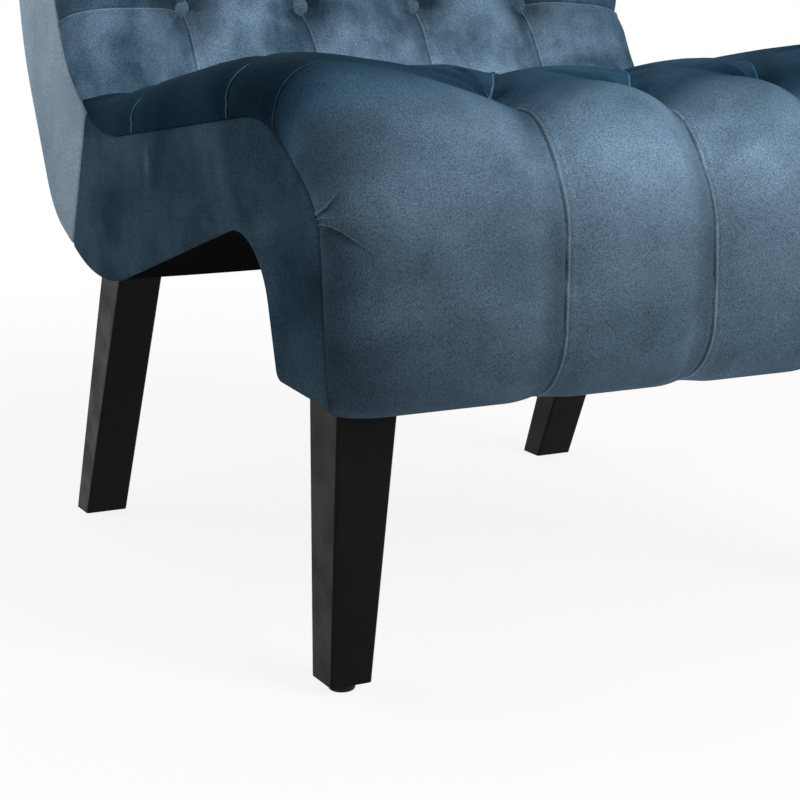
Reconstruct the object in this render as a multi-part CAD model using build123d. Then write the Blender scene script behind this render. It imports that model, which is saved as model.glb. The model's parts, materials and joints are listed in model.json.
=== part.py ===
from build123d import *
import os
from collections import namedtuple
from math import cos, radians, sin, sqrt, tan

# Armless chair with a tufted seat and back, in millimetres: +Z up, facing -Y, left as one sits in it at +X.
# In the side view a point is (y, z), with y counted from the front levelling glide. The finished chair is
# then moved so that the origin is under the middle of its bounding box.

# Overall width and the layers of the covers
WIDTH = 590.0
COVER = 4.0
UNDER_COVER = 2.0
FELT = 3.0
STRAP = 3.0
BACK_PANEL = 3.0
PLY = 18.0

# Side outline: front, knee and seat
SKIRT_Z = 224.0
SKIRT_Y = -61.0
KNEE_Y = -49.0
KNEE_Z = 358.0
KNEE_RADIUS = 60.0
SEAT_FRONT_Y = 38.0
SEAT_FRONT_Z = 417.0
SEAT_FRONT_RADIUS = 110.0
SEAT_REAR_Y = 479.0
SEAT_FALL = 7.1
BEND_RADIUS = 155.0

# Side outline: back
BACK_LEAN = 16.5
FRAME_TOP_Z = 806.0
TOP_THICKNESS = 80.0
TOP_DROP = 8.0
TOP_FRONT_RADIUS = 40.0
TOP_REAR_RADIUS = 12.0
LOIN_Y = 617.0
LOIN_Z = 432.0
LOIN_RADIUS = 250.0
HEEL_Y = 543.0
HEEL_Z = 292.0
HEEL_RADIUS = 90.0

# Side outline: rear lobe and arch
LOBE_Y = 415.0
LOBE_Z = 238.0
LOBE_RADIUS = 190.0
ARCH_Y = 57.0
ARCH_Z = 342.0
ARCH_RADIUS = 62.0
DROP_Y = 25.0
DROP_RISE = 5.0
DROP_RADIUS = 10.0

# Seam between each side cover and the side strip of the back
SEAM_LOW_Y = 486.0
SEAM_LOW_Z = 273.0
SEAM_LEAN = 22.0

# Padding: crown line of seat and back, rolled edges, dished middle
PAD_OVERHANG = 4.0
PAD_FRONT_Y = -98.0
PAD_BOTTOM_Z = 212.0
PAD_TUCK_Y = -40.0
PAD_FRONT_Z = 482.0
PAD_FALL = 9.1
BACK_PAD = 38.0
TOP_PAD = 44.0
NOSE_RADIUS = 126.0
ROLL_RADIUS = 58.0
CREASE_RADIUS = 40.0
TOP_ROLL_RADIUS = 72.0
REAR_ROLL_RADIUS = 36.0
SIDE_ROLL = 28.0
DISH_Z = 440.0
DISH_RADIUS = 1550.0
DISH_LENGTH = 400.0
CREASE_GAP = 0.4

# Tufts: rows from front to rear on the seat, and from the crease up on the back
TUFT_PITCH = 120.0
SEAT_ROW_START = 28.0
SEAT_ROW_PITCH = 100.0
SEAT_TUFT_DEPTHS = (40.0, 18.0, 18.0, 16.0)
SEAT_TUFT_COUNTS = (3, 4, 3, 4)
BACK_ROW_START = 118.0
BACK_ROW_PITCH = 92.0
BACK_TUFT_DEPTH = 26.0
BACK_TUFT_COUNTS = (4, 3, 4, 3)
TUFT_MOUTH = 26.0
PLEAT_WIDTH = 76.0
PLEAT_RISE = 5.0
SIDE_PLEAT_WIDTH = 44.0
SIDE_PLEAT_DEPTH = 12.0
CREASE_PLEAT_WIDTH = 56.0
CREASE_PLEAT_DEPTH = 3.0
TOP_PLEAT_DEPTH = 8.0
TOP_PLEAT_LENGTH = 184.0
CHANNEL_DEPTH = 10.0
CHANNEL_WIDTH = 60.0
NOSE_PLEAT_DEPTH = 24.0
CUT_LIFT = 6.0
OVERCUT = 2.0

# Covered buttons and tuft ties
BUTTON_RADIUS = 11.0
BUTTON_HEIGHT = 7.0
BUTTON_ROUND = 5.0
BUTTON_ROOM = 2.0
TIE_RADIUS = 1.6
TIE_HEAD_RADIUS = 4.0
TIE_HEAD_HEIGHT = 1.5
TIE_ROOM = 0.2

# Front legs
FRONT_LEG_TOP_X = 48.0
FRONT_LEG_END_X = 33.0
FRONT_LEG_TOP_FRONT = -32.0
FRONT_LEG_END_FRONT = -17.0
FRONT_LEG_REAR = 17.0
FRONT_TENON = 88.0
LEG_EDGE = 2.5

# Rear legs
REAR_LEG_X = 40.0
REAR_LEG_END_FRONT = 540.0
REAR_LEG_END_REAR = 571.0
REAR_LEG_TOP_Z = 335.0
REAR_LEG_TOP_FRONT = 379.0
REAR_LEG_TOP_REAR = 436.0
LEG_ROOM = 1.0

# Levelling glides and their threaded inserts
GLIDE_RADIUS = 10.0
GLIDE_HEIGHT = 8.0
GLIDE_ROUND = 2.5
STEM_RADIUS = 4.0
STEM_LENGTH = 34.0
STEM_ROOM = 0.3
INSERT_RADIUS = 6.5
INSERT_LENGTH = 14.0
INSERT_FLANGE_RADIUS = 9.0
INSERT_FLANGE = 1.2
INSERT_ROOM = 0.1
STEM_BORE_SPARE = 4.0

# Leg bolts, washers and T-nuts, and the length of a drill that goes through
DRILL = 180.0
BOLT_RADIUS = 4.0
BOLT_HEAD_RADIUS = 7.5
BOLT_HEAD = 5.0
BOLT_ROOM = 0.3
WASHER_RADIUS = 9.0
WASHER = 1.6
TNUT_RADIUS = 5.5
TNUT_LENGTH = 14.0
TNUT_FLANGE_RADIUS = 10.0
TNUT_FLANGE = 1.5
FRONT_BOLT_Y = -6.0
FRONT_BOLT_LOW = 26.0
REAR_BOLT_LOW = 283.0
BOLT_SPACING = 36.0

# Cross rails: depth, height and place
RAIL_DEPTH = 20.0
RAIL_HEIGHT = 60.0
FRONT_RAIL_BELOW = 4.0
FRONT_RAIL_HEIGHT = 70.0
FRONT_RAIL_DEPTH = 16.0
SPRING_RAIL_DEPTH = 30.0
SPRING_RAIL_HEIGHT = 46.0
SPRING_FRONT_Y = 76.0
SPRING_REAR_Y = 350.0
HEEL_RAIL_Y = 473.0
HEEL_RAIL_Z = 315.0
LOIN_RAIL_Y = 560.0
LOIN_RAIL_Z = 490.0
TOP_RAIL_DEPTH = 44.0
TOP_RAIL_HEIGHT = 34.0
TOP_RAIL_BELOW = 6.0

# Frame screws
SCREW_RADIUS = 2.5
SCREW_HEAD_RADIUS = 5.0
SCREW_HEAD = 3.0
SCREW_LENGTH = 56.0
SCREW_SPREAD = 0.28
SCREW_ROOM = 0.1

# Seat springs, clips and back straps
WIRE_RADIUS = 1.8
WIRE_ROOM = 0.3
SPRING_COUNT = 5
SPRING_PITCH = 100.0
SPRING_RUNS = 14
SPRING_HALF_WIDTH = 22.0
CLIP_WIDTH = 16.0
CLIP_DEPTH = 12.0
CLIP_BASE = 4.0
CLIP_TOP = 0.9
CLIP_ROOM = 0.15
STRAP_COUNT = 4
STRAP_WIDTH = 52.0
STRAP_START = 30.0
STRAP_PITCH = 78.0
STRAP_INSET = 2.0

# Round shoulder of a pleat, as shares of its half width and depth
SHOULDER_ALONG = 0.33
SHOULDER_UP = 0.74

# Reach of helper cuts past the chair, and how near two points count as one
FAR = 900.0
TOUCH = 0.001
BASE = (Align.CENTER, Align.CENTER, Align.MIN)
CAP = (Align.CENTER, Align.CENTER, Align.MAX)


def slope_at(start, fall, y):
    """Height at y of a line that leaves the start point and falls to the rear."""
    return start.Y - tan(radians(fall)) * (y - start.X)


def crossing(point_a, run_a, point_b, run_b):
    """Where two lines of the side view meet."""
    turn = run_a.X * run_b.Y - run_a.Y * run_b.X
    apart = point_b - point_a
    return point_a + run_a * ((apart.X * run_b.Y - apart.Y * run_b.X) / turn)


def left_of(run):
    """Direction a quarter turn to the left in the side view."""
    return Vector(-run.Y, run.X)


# Stations across the chair
COVER_INSIDE = WIDTH / 2 - COVER
FRAME_INSIDE = COVER_INSIDE - PLY
PAD_HALF = WIDTH / 2 + PAD_OVERHANG

# Corners of the side outline, clockwise from the bottom of the front
SEAT_RUN = Vector(cos(radians(SEAT_FALL)), -sin(radians(SEAT_FALL)))
BACK_RUN = Vector(sin(radians(BACK_LEAN)), cos(radians(BACK_LEAN)))
BEND_LENGTH = BEND_RADIUS * tan(radians(90 - BACK_LEAN + SEAT_FALL) / 2)
SEAT_FRONT = Vector(SEAT_FRONT_Y, SEAT_FRONT_Z)
SEAT_REAR = Vector(SEAT_REAR_Y, slope_at(SEAT_FRONT, SEAT_FALL, SEAT_REAR_Y))
TOP_FRONT = SEAT_REAR + BACK_RUN * ((FRAME_TOP_Z - SEAT_REAR.Y) / BACK_RUN.Y)
TOP_REAR = TOP_FRONT + Vector(TOP_THICKNESS, -TOP_DROP)
LOIN = Vector(LOIN_Y, LOIN_Z)
CORNERS = (
    (Vector(SKIRT_Y, SKIRT_Z), 0.0),
    (Vector(KNEE_Y, KNEE_Z), KNEE_RADIUS),
    (SEAT_FRONT, SEAT_FRONT_RADIUS),
    (SEAT_REAR, BEND_RADIUS),
    (TOP_FRONT, TOP_FRONT_RADIUS),
    (TOP_REAR, TOP_REAR_RADIUS),
    (LOIN, LOIN_RADIUS),
    (Vector(HEEL_Y, HEEL_Z), HEEL_RADIUS),
    (Vector(LOBE_Y, LOBE_Z), LOBE_RADIUS),
    (Vector(ARCH_Y, ARCH_Z), ARCH_RADIUS),
    (Vector(DROP_Y, SKIRT_Z + DROP_RISE), DROP_RADIUS),
)

# Crown lines of the padding
PAD_SEAT_RUN = Vector(cos(radians(PAD_FALL)), -sin(radians(PAD_FALL)))
PAD_NOSE = Vector(PAD_FRONT_Y, PAD_FRONT_Z)
PAD_BACK = SEAT_REAR + left_of(BACK_RUN) * BACK_PAD
PAD_CREASE = crossing(PAD_NOSE, PAD_SEAT_RUN, PAD_BACK, BACK_RUN)
PAD_TOP = TOP_FRONT + Vector(0, TOP_PAD)
PAD_TOP_FRONT = crossing(PAD_BACK, BACK_RUN, PAD_TOP, TOP_REAR - TOP_FRONT)
PAD_TOP_REAR = crossing(PAD_TOP, TOP_REAR - TOP_FRONT, TOP_REAR, LOIN - TOP_REAR)
CREASE_UP = (BACK_RUN - PAD_SEAT_RUN).normalized()
CREASE_FLOOR = PAD_CREASE + CREASE_UP * (CREASE_RADIUS / CREASE_UP.cross(BACK_RUN).length - CREASE_RADIUS)
PAD_INSIDE = (
    Vector(LOIN_Y - TOP_THICKNESS / 2, LOIN_Z),
    Vector(LOBE_Y, ARCH_Z),
    Vector(PAD_TUCK_Y, ARCH_Z),
)

# A row of tufts: its floor in the side view, the way out of the padding, its depth and stations across
Row = namedtuple("Row", "floor out depth xs")

# A cross rail: its middle in the side view, its depth and its height
Rail = namedtuple("Rail", "middle depth height")


def rounded_face(corners):
    """Closed face from corners with their radii."""
    return make_face(FilletPolyline(*[c for c, r in corners], radius=[r for c, r in corners], close=True))


def outline(cover=0.0, rear=0.0, under=0.0):
    """Face of the side outline, with its padded, rear and under sides moved inward."""
    gaps = [cover] * 4 + [0.0] + [rear] * 2 + [under] * 4
    points = [corner for corner, radius in CORNERS]
    runs = [(points[(i + 1) % len(points)] - point).normalized() for i, point in enumerate(points)]
    moved = []
    for i, (corner, radius) in enumerate(CORNERS):
        first, second = left_of(runs[i - 1]) * -1, left_of(runs[i]) * -1
        turn = first.X * second.Y - first.Y * second.X
        move_y = (gaps[i - 1] * second.Y - gaps[i] * first.Y) / turn
        move_z = (gaps[i] * first.X - gaps[i - 1] * second.X) / turn
        shrink = (gaps[i - 1] + gaps[i]) / 2 * (1 if turn < 0 else -1)
        moved.append((corner + Vector(move_y, move_z), max(radius - shrink, 0.0) if radius else 0.0))
    return rounded_face(moved)


def slab(face, x_from, x_to):
    """Side-view face pulled out across the chair."""
    return Pos(x_from, 0, 0) * extrude(Plane.YZ * face, x_to - x_from, dir=(1, 0, 0))


def at(x, point):
    """Side-view point set at a station across the chair."""
    return Vector(x, point.X, point.Y)


def half_view(point, up, rear, gap=0.0):
    """Half of the side view in front of or behind a line."""
    aside = left_of(up) * (-1 if rear else 1)
    low = point - up * FAR + aside * gap
    high = point + up * FAR + aside * gap
    return make_face(Polyline(low, high, high + aside * FAR * 2, low + aside * FAR * 2, close=True))


def seam_side(rear):
    """Half of the side view in front of or behind the seam of the back strip."""
    up = Vector(-sin(radians(SEAM_LEAN)), cos(radians(SEAM_LEAN)))
    return half_view(Vector(SEAM_LOW_Y, SEAM_LOW_Z), up, rear)


def crease_side(rear):
    """Half of the side view in front of or behind the crease between seat and back."""
    return half_view(PAD_CREASE, CREASE_UP, rear, CREASE_GAP / 2)


def crown_face():
    """Side view of the padding, still filled behind the covers."""
    shown = [
        (Vector(PAD_TUCK_Y, PAD_BOTTOM_Z), 0.0),
        (Vector(PAD_FRONT_Y, PAD_BOTTOM_Z), ROLL_RADIUS),
        (PAD_NOSE, NOSE_RADIUS),
        (PAD_CREASE, CREASE_RADIUS),
        (PAD_TOP_FRONT, TOP_ROLL_RADIUS),
        (PAD_TOP_REAR, REAR_ROLL_RADIUS),
        (TOP_REAR, 0.0),
    ]
    return rounded_face(shown + [(point, 0.0) for point in PAD_INSIDE])


def padding_block():
    """Seat and back padding as one block with rolled side edges."""
    block = slab(crown_face(), -PAD_HALF, PAD_HALF)
    return fillet([edge for edge in block.edges() if is_rolled(edge)], SIDE_ROLL)


def is_rolled(edge):
    """True for a side edge of the padding block that shows."""
    ends = [Vector(0, vertex.Y, vertex.Z) for vertex in edge.vertices()]
    shows = all((end - at(0, point)).length > TOUCH for end in ends for point in PAD_INSIDE)
    return shows and abs(abs(edge.center().X) - PAD_HALF) < TOUCH and abs((edge % 0.5).X) < TOUCH


def row_stations(count):
    """Stations of one row of tufts, set about the middle."""
    return [(i - (count - 1) / 2) * TUFT_PITCH for i in range(count)]


def seat_rows():
    """Rows of tufts on the seat, front to rear."""
    rows = []
    out = left_of(PAD_SEAT_RUN)
    for i, (depth, count) in enumerate(zip(SEAT_TUFT_DEPTHS, SEAT_TUFT_COUNTS)):
        y = SEAT_ROW_START + i * SEAT_ROW_PITCH
        crown = Vector(y, slope_at(PAD_NOSE, PAD_FALL, y))
        rows.append(Row(crown - out * depth, out, depth, row_stations(count)))
    return rows


def back_rows():
    """Rows of tufts on the back, counted up from its corner with the seat."""
    rows = []
    out = left_of(BACK_RUN)
    for i, count in enumerate(BACK_TUFT_COUNTS):
        crown = PAD_BACK + BACK_RUN * (BACK_ROW_START + i * BACK_ROW_PITCH)
        rows.append(Row(crown - out * BACK_TUFT_DEPTH, out, BACK_TUFT_DEPTH, row_stations(count)))
    return rows


def groove_section(width, depth):
    """Section of a pleat: two round shoulders that meet in a sharp valley at the origin."""
    half = width / 2
    rise = depth + OVERCUT
    shoulder = (half * SHOULDER_ALONG, rise * SHOULDER_UP)
    left = ThreePointArc((-half, rise), (-shoulder[0], shoulder[1]), (0, 0))
    right = ThreePointArc((0, 0), shoulder, (half, rise))
    roof = Polyline((half, rise), (half, rise + CUT_LIFT), (-half, rise + CUT_LIFT), (-half, rise))
    return make_face([left, right, *roof.edges()])


def pleat(start, end, out, width, depth):
    """Straight cut along a pleat from one point of the padding to another."""
    run = (end - start).normalized()
    plane = Plane(start, x_dir=at(0, out).cross(run), z_dir=run)
    return extrude(plane * groove_section(width, depth), (end - start).length)


def diamond_pleats(rows):
    """Diagonal pleats between neighbouring tufts of neighbouring rows."""
    cuts = []
    for low, high in zip(rows, rows[1:]):
        depth = (low.depth + high.depth) / 2 - PLEAT_RISE
        pairs = [(a, b) for a in low.xs for b in high.xs if abs(a - b) < TUFT_PITCH]
        for x_low, x_high in pairs:
            start = at(x_low, low.floor + low.out * PLEAT_RISE)
            end = at(x_high, high.floor + high.out * PLEAT_RISE)
            cuts.append(pleat(start, end, low.out, PLEAT_WIDTH, depth))
    return cuts


def side_pleats(rows):
    """Pleats from the outermost tufts of each wide row out to the side edges."""
    cuts = []
    widest = max(len(row.xs) for row in rows)
    for row in rows:
        if len(row.xs) == widest:
            level = row.floor + row.out * (row.depth - SIDE_PLEAT_DEPTH)
            for side in (-1, 1):
                start = at(side * max(row.xs), level)
                end = at(side * (PAD_HALF + CUT_LIFT), level)
                cuts.append(pleat(start, end, row.out, SIDE_PLEAT_WIDTH, SIDE_PLEAT_DEPTH))
    return cuts


def front_channels(row):
    """Channels from the first row of tufts over the nose and down the front roll."""
    level = row.floor + row.out * (row.depth - CHANNEL_DEPTH)
    front_y = PAD_FRONT_Y + CHANNEL_DEPTH
    radii = [NOSE_RADIUS - CHANNEL_DEPTH, ROLL_RADIUS - CHANNEL_DEPTH]
    top = crossing(level, PAD_SEAT_RUN, Vector(front_y, 0), Vector(0, 1))
    start = top + PAD_SEAT_RUN * (radii[0] * tan(radians(90 + PAD_FALL) / 2) + CUT_LIFT)
    bottom = Vector(front_y, PAD_BOTTOM_Z + CHANNEL_DEPTH)
    end = bottom + Vector(radii[1] + CUT_LIFT, 0)
    path = Plane.YZ * FilletPolyline(start, top, bottom, end, radius=radii)
    cuts = []
    for x in row.xs:
        plane = Plane(at(x, start), x_dir=at(0, row.out).cross(path % 0), z_dir=path % 0)
        cuts.append(sweep(plane * groove_section(CHANNEL_WIDTH, CHANNEL_DEPTH), Pos(x, 0, 0) * path))
    return cuts


def nose_pleats(row):
    """Deeper pleats from the first row of tufts into the front channels."""
    middle_y = PAD_FRONT_Y + NOSE_RADIUS
    middle = Vector(middle_y, slope_at(PAD_NOSE, PAD_FALL, middle_y) - NOSE_RADIUS)
    out = (row.out + Vector(-1, 0)).normalized()
    end = middle + out * (NOSE_RADIUS - CHANNEL_DEPTH)
    start = row.floor + row.out * PLEAT_RISE
    return [pleat(at(x, start), at(x, end), row.out, CHANNEL_WIDTH, NOSE_PLEAT_DEPTH) for x in row.xs]


def crease_pleats(row):
    """Pleats from the row nearest the crease down to it."""
    start = row.floor + row.out * PLEAT_RISE
    end = CREASE_FLOOR - CREASE_UP * CREASE_PLEAT_DEPTH
    depth = row.depth - PLEAT_RISE
    return [pleat(at(x, start), at(x, end), row.out, CREASE_PLEAT_WIDTH, depth) for x in row.xs]


def top_pleats(row):
    """Pleats from the highest row of the back up to the top edge."""
    level = row.floor + row.out * (row.depth - TOP_PLEAT_DEPTH)
    end = level + BACK_RUN * TOP_PLEAT_LENGTH
    return [pleat(at(x, level), at(x, end), row.out, SIDE_PLEAT_WIDTH, TOP_PLEAT_DEPTH) for x in row.xs]


def on_floor(x, row, shape):
    """Shape set on the floor of one tuft, its own Z axis pointing out of the padding."""
    return Plane(at(x, row.floor), x_dir=(1, 0, 0), z_dir=at(0, row.out)) * shape


def tuft_pit(x, row, floor_radius):
    """Round pit of one tuft, flat at its floor, with the thin hole for its tie or shank."""
    pit = Cone(floor_radius, TUFT_MOUTH, row.depth + CUT_LIFT, align=BASE)
    hole = Cylinder(TIE_RADIUS + TIE_ROOM, BACK_PAD, align=CAP)
    return [on_floor(x, row, pit), on_floor(x, row, hole)]


def dish():
    """Round cut that leaves the middle of the seat's front a little lower than its sides."""
    drum = Pos(0, SEAT_ROW_START, DISH_Z + DISH_RADIUS) * Rot(90, 0, 0) * Cylinder(DISH_RADIUS, DISH_LENGTH)
    room = Pos(0, SEAT_ROW_START, DISH_Z - CUT_LIFT) * Box(FAR, DISH_LENGTH, FAR, align=BASE)
    return drum & room


def tufted_padding():
    """Padding of seat and back with its tufts, pleats and channels."""
    seat, back = seat_rows(), back_rows()
    cuts = [dish(), *front_channels(seat[0]), *nose_pleats(seat[0])]
    cuts += diamond_pleats(seat) + diamond_pleats(back)
    cuts += side_pleats(seat) + side_pleats(back)
    cuts += crease_pleats(seat[-1]) + crease_pleats(back[0]) + top_pleats(back[-1])
    for row in seat:
        for x in row.xs:
            cuts += tuft_pit(x, row, TIE_HEAD_RADIUS + BUTTON_ROOM)
    for row in back:
        for x in row.xs:
            cuts += tuft_pit(x, row, BUTTON_RADIUS + BUTTON_ROOM)
    return padding_block() - slab(outline(), -FAR, FAR) - cuts


def largest(shape):
    """Main solid of a cut shape, without the crumbs that crossing pleats leave."""
    return max(shape.solids(), key=lambda solid: solid.volume)


def pads():
    """Seat pad and back pad, apart at the crease."""
    padding = tufted_padding()
    return {
        "seat_pad": largest(padding & slab(crease_side(False), -FAR, FAR)),
        "back_pad": largest(padding & slab(crease_side(True), -FAR, FAR)),
    }


def button(length):
    """Covered button with the shank that holds it."""
    dome = Cylinder(BUTTON_RADIUS, BUTTON_HEIGHT, align=BASE)
    dome = fillet(dome.edges().group_by(Axis.Z)[-1], BUTTON_ROUND)
    return dome + Cylinder(TIE_RADIUS, length, align=CAP)


def tie(length):
    """Tie of a sewn tuft: a small plate and a shank."""
    return Cylinder(TIE_HEAD_RADIUS, TIE_HEAD_HEIGHT, align=BASE) + Cylinder(TIE_RADIUS, length, align=CAP)


def bend_rise(place):
    """How far the bend between seat and back lifts the frame's face at a place along the back."""
    short = max(BEND_LENGTH - place, 0)
    return BEND_RADIUS - sqrt(BEND_RADIUS**2 - short**2)


def back_buttons():
    """All covered buttons of the back."""
    buttons = []
    for row in back_rows():
        lifted = bend_rise((row.floor - SEAT_REAR).dot(BACK_RUN) - TIE_RADIUS)
        shank = BACK_PAD - BACK_TUFT_DEPTH - TIE_ROOM - lifted
        buttons += [on_floor(x, row, button(shank)) for x in row.xs]
    return Compound(buttons)


def seat_ties():
    """All ties of the seat's sewn tufts."""
    ties = []
    for row in seat_rows():
        above = (row.floor - SEAT_FRONT).dot(left_of(SEAT_RUN)) / row.out.dot(left_of(SEAT_RUN))
        ties += [on_floor(x, row, tie(above - TIE_ROOM)) for x in row.xs]
    return Compound(ties)


def across(x, y, z, shape):
    """Shape whose own Z axis points to the left side of the chair, set at a point."""
    return Plane((x, y, z), x_dir=(0, 1, 0), z_dir=(1, 0, 0)) * shape


def spring_rail(y):
    """Rail under one end of the seat springs."""
    middle = wire_point(y) - Vector(0, CLIP_BASE + SPRING_RAIL_HEIGHT / 2)
    return Rail(middle, SPRING_RAIL_DEPTH, SPRING_RAIL_HEIGHT)


def rails():
    """Cross rails by name."""
    front_y = FRONT_LEG_TOP_FRONT - FRONT_RAIL_DEPTH / 2
    front_z = SKIRT_Z + FRONT_RAIL_BELOW + FRONT_RAIL_HEIGHT / 2
    top_y = TOP_FRONT.X + TOP_THICKNESS / 2
    top_z = TOP_REAR.Y - TOP_RAIL_BELOW - TOP_RAIL_HEIGHT / 2
    return {
        "front_rail": Rail(Vector(front_y, front_z), FRONT_RAIL_DEPTH, FRONT_RAIL_HEIGHT),
        "seat_front_rail": spring_rail(SPRING_FRONT_Y),
        "seat_rear_rail": spring_rail(SPRING_REAR_Y),
        "heel_rail": Rail(Vector(HEEL_RAIL_Y, HEEL_RAIL_Z), RAIL_DEPTH, RAIL_HEIGHT),
        "loin_rail": Rail(Vector(LOIN_RAIL_Y, LOIN_RAIL_Z), RAIL_DEPTH, RAIL_HEIGHT),
        "top_rail": Rail(Vector(top_y, top_z), TOP_RAIL_DEPTH, TOP_RAIL_HEIGHT),
    }


def screw_points():
    """Side-view places of the screws that hold the rails."""
    points = []
    for rail in rails().values():
        points += [rail.middle + Vector(0, rail.height * share) for share in (-SCREW_SPREAD, SCREW_SPREAD)]
    return points


def screw(room):
    """Flat-headed screw pointing inward from the left frame's outer face, with room about it."""
    head = Cylinder(SCREW_HEAD_RADIUS + room, SCREW_HEAD, align=CAP)
    return head + Cylinder(SCREW_RADIUS + room, SCREW_LENGTH + room, align=CAP)


def frame_screws(room=0.0):
    """Screws of the left side frame."""
    return [across(COVER_INSIDE, point.X, point.Y, screw(room)) for point in screw_points()]


def rail_solids():
    """Cross rails between the side frames, drilled for their screws."""
    holes = frame_screws(SCREW_ROOM)
    holes += [mirror(hole, Plane.YZ) for hole in holes]
    solids = {}
    for name, rail in rails().items():
        solids[name] = Pos(at(0, rail.middle)) * Box(FRAME_INSIDE * 2, rail.depth, rail.height) - holes
    return solids


def leg_section(inner, front, rear, z):
    """Rounded section of a left leg whose outer face lies on the side frame."""
    middle = ((inner + FRAME_INSIDE) / 2, (front + rear) / 2, z)
    return Pos(*middle) * RectangleRounded(FRAME_INSIDE - inner, rear - front, LEG_EDGE)


def front_leg_end():
    """Middle of the left front leg's lower end."""
    x = FRAME_INSIDE - FRONT_LEG_END_X / 2
    return Vector(x, (FRONT_LEG_END_FRONT + FRONT_LEG_REAR) / 2, GLIDE_HEIGHT)


def front_leg(room=0.0):
    """Left front leg, upright outside and behind, tapered inside and in front, without its holes."""
    inner = FRAME_INSIDE - FRONT_LEG_TOP_X - room
    top = leg_section(inner, FRONT_LEG_TOP_FRONT - room, FRONT_LEG_REAR + room, SKIRT_Z)
    end_inner = FRAME_INSIDE - FRONT_LEG_END_X - room
    end = leg_section(end_inner, FRONT_LEG_END_FRONT - room, FRONT_LEG_REAR + room, front_leg_end().Z)
    return loft([end, top], ruled=True) + extrude(top, FRONT_TENON, dir=(0, 0, 1))


def rear_leg(room=0.0):
    """Left rear leg, raked back, without its holes."""
    inner = FRAME_INSIDE - REAR_LEG_X - room
    end = leg_section(inner, REAR_LEG_END_FRONT - room, REAR_LEG_END_REAR + room, 0)
    top = leg_section(inner, REAR_LEG_TOP_FRONT - room, REAR_LEG_TOP_REAR + room, REAR_LEG_TOP_Z)
    return loft([end, top], ruled=True)


def rear_leg_middle(z):
    """Middle of the raked leg in the side view at a height."""
    low = (REAR_LEG_END_FRONT + REAR_LEG_END_REAR) / 2
    high = (REAR_LEG_TOP_FRONT + REAR_LEG_TOP_REAR) / 2
    return Vector(low + (high - low) * z / REAR_LEG_TOP_Z, z)


def bolt_places():
    """Inner face of the left legs and side-view point of each leg bolt."""
    front = [Vector(FRONT_BOLT_Y, SKIRT_Z + FRONT_BOLT_LOW + i * BOLT_SPACING) for i in range(2)]
    rear = [rear_leg_middle(REAR_BOLT_LOW + i * BOLT_SPACING) for i in range(2)]
    places = [(FRAME_INSIDE - FRONT_LEG_TOP_X, point) for point in front]
    return places + [(FRAME_INSIDE - REAR_LEG_X, point) for point in rear]


def bolt_hole():
    """Clearance hole through leg and frame for one bolt."""
    return Cylinder(BOLT_RADIUS + BOLT_ROOM, DRILL)


def tnut_recess():
    """Recess of one T-nut in the outer face of the left side frame."""
    flange = Cylinder(TNUT_FLANGE_RADIUS + BOLT_ROOM, TNUT_FLANGE, align=CAP)
    return flange + Cylinder(TNUT_RADIUS + BOLT_ROOM, TNUT_LENGTH, align=CAP)


def tnut():
    """T-nut, flush with the outer face of the left side frame."""
    flange = Cylinder(TNUT_FLANGE_RADIUS, TNUT_FLANGE, align=CAP)
    return flange + Cylinder(TNUT_RADIUS, TNUT_LENGTH, align=CAP) - bolt_hole()


def bolt(length):
    """Leg bolt with a hexagon head, its shank along +Z from under the head."""
    head = extrude(RegularPolygon(BOLT_HEAD_RADIUS, 6), -BOLT_HEAD)
    return head + Cylinder(BOLT_RADIUS, length, align=BASE)


def washer():
    """Flat washer."""
    return Cylinder(WASHER_RADIUS, WASHER, align=CAP) - bolt_hole()


def leg_fasteners():
    """Bolts, washers and T-nuts of the left legs."""
    bolts, washers, tnuts = [], [], []
    for inner, point in bolt_places():
        start = inner - WASHER
        bolts.append(across(start, point.X, point.Y, bolt(COVER_INSIDE - TNUT_FLANGE - start)))
        washers.append(across(inner, point.X, point.Y, washer()))
        tnuts.append(across(COVER_INSIDE, point.X, point.Y, tnut()))
    return bolts, washers, tnuts


def drilled_legs():
    """Left legs with their bolt holes and the bore of the levelling glide."""
    holes = [across(inner, point.X, point.Y, bolt_hole()) for inner, point in bolt_places()]
    bore = Cylinder(INSERT_RADIUS + INSERT_ROOM, INSERT_LENGTH, align=BASE)
    bore += Cylinder(INSERT_FLANGE_RADIUS + INSERT_ROOM, INSERT_FLANGE, align=BASE)
    bore += Cylinder(STEM_RADIUS + BOLT_ROOM, STEM_LENGTH + STEM_BORE_SPARE, align=BASE)
    return front_leg() - holes - Pos(front_leg_end()) * bore, rear_leg() - holes


def glide_insert():
    """Threaded insert in the end of the left front leg."""
    body = Cylinder(INSERT_RADIUS, INSERT_LENGTH, align=BASE)
    body += Cylinder(INSERT_FLANGE_RADIUS, INSERT_FLANGE, align=BASE)
    return Pos(front_leg_end()) * (body - Cylinder(STEM_RADIUS + STEM_ROOM, DRILL))


def glide():
    """Levelling glide of the left front leg: round foot and stem."""
    foot = Cylinder(GLIDE_RADIUS, GLIDE_HEIGHT, align=BASE)
    foot = fillet(foot.edges().group_by(Axis.Z)[0], GLIDE_ROUND)
    end = front_leg_end()
    stem = Pos(0, 0, GLIDE_HEIGHT) * Cylinder(STEM_RADIUS, STEM_LENGTH, align=BASE)
    return Pos(end.X, end.Y, 0) * (foot + stem)


def side_frame():
    """Left plywood side frame, drilled for rails and legs."""
    face = outline(cover=FELT + STRAP, rear=COVER + BACK_PANEL, under=UNDER_COVER)
    holes = frame_screws(SCREW_ROOM)
    for inner, point in bolt_places():
        holes += [across(FRAME_INSIDE, point.X, point.Y, bolt_hole())]
        holes += [across(COVER_INSIDE, point.X, point.Y, tnut_recess())]
    return slab(face, FRAME_INSIDE, COVER_INSIDE) - holes


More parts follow.
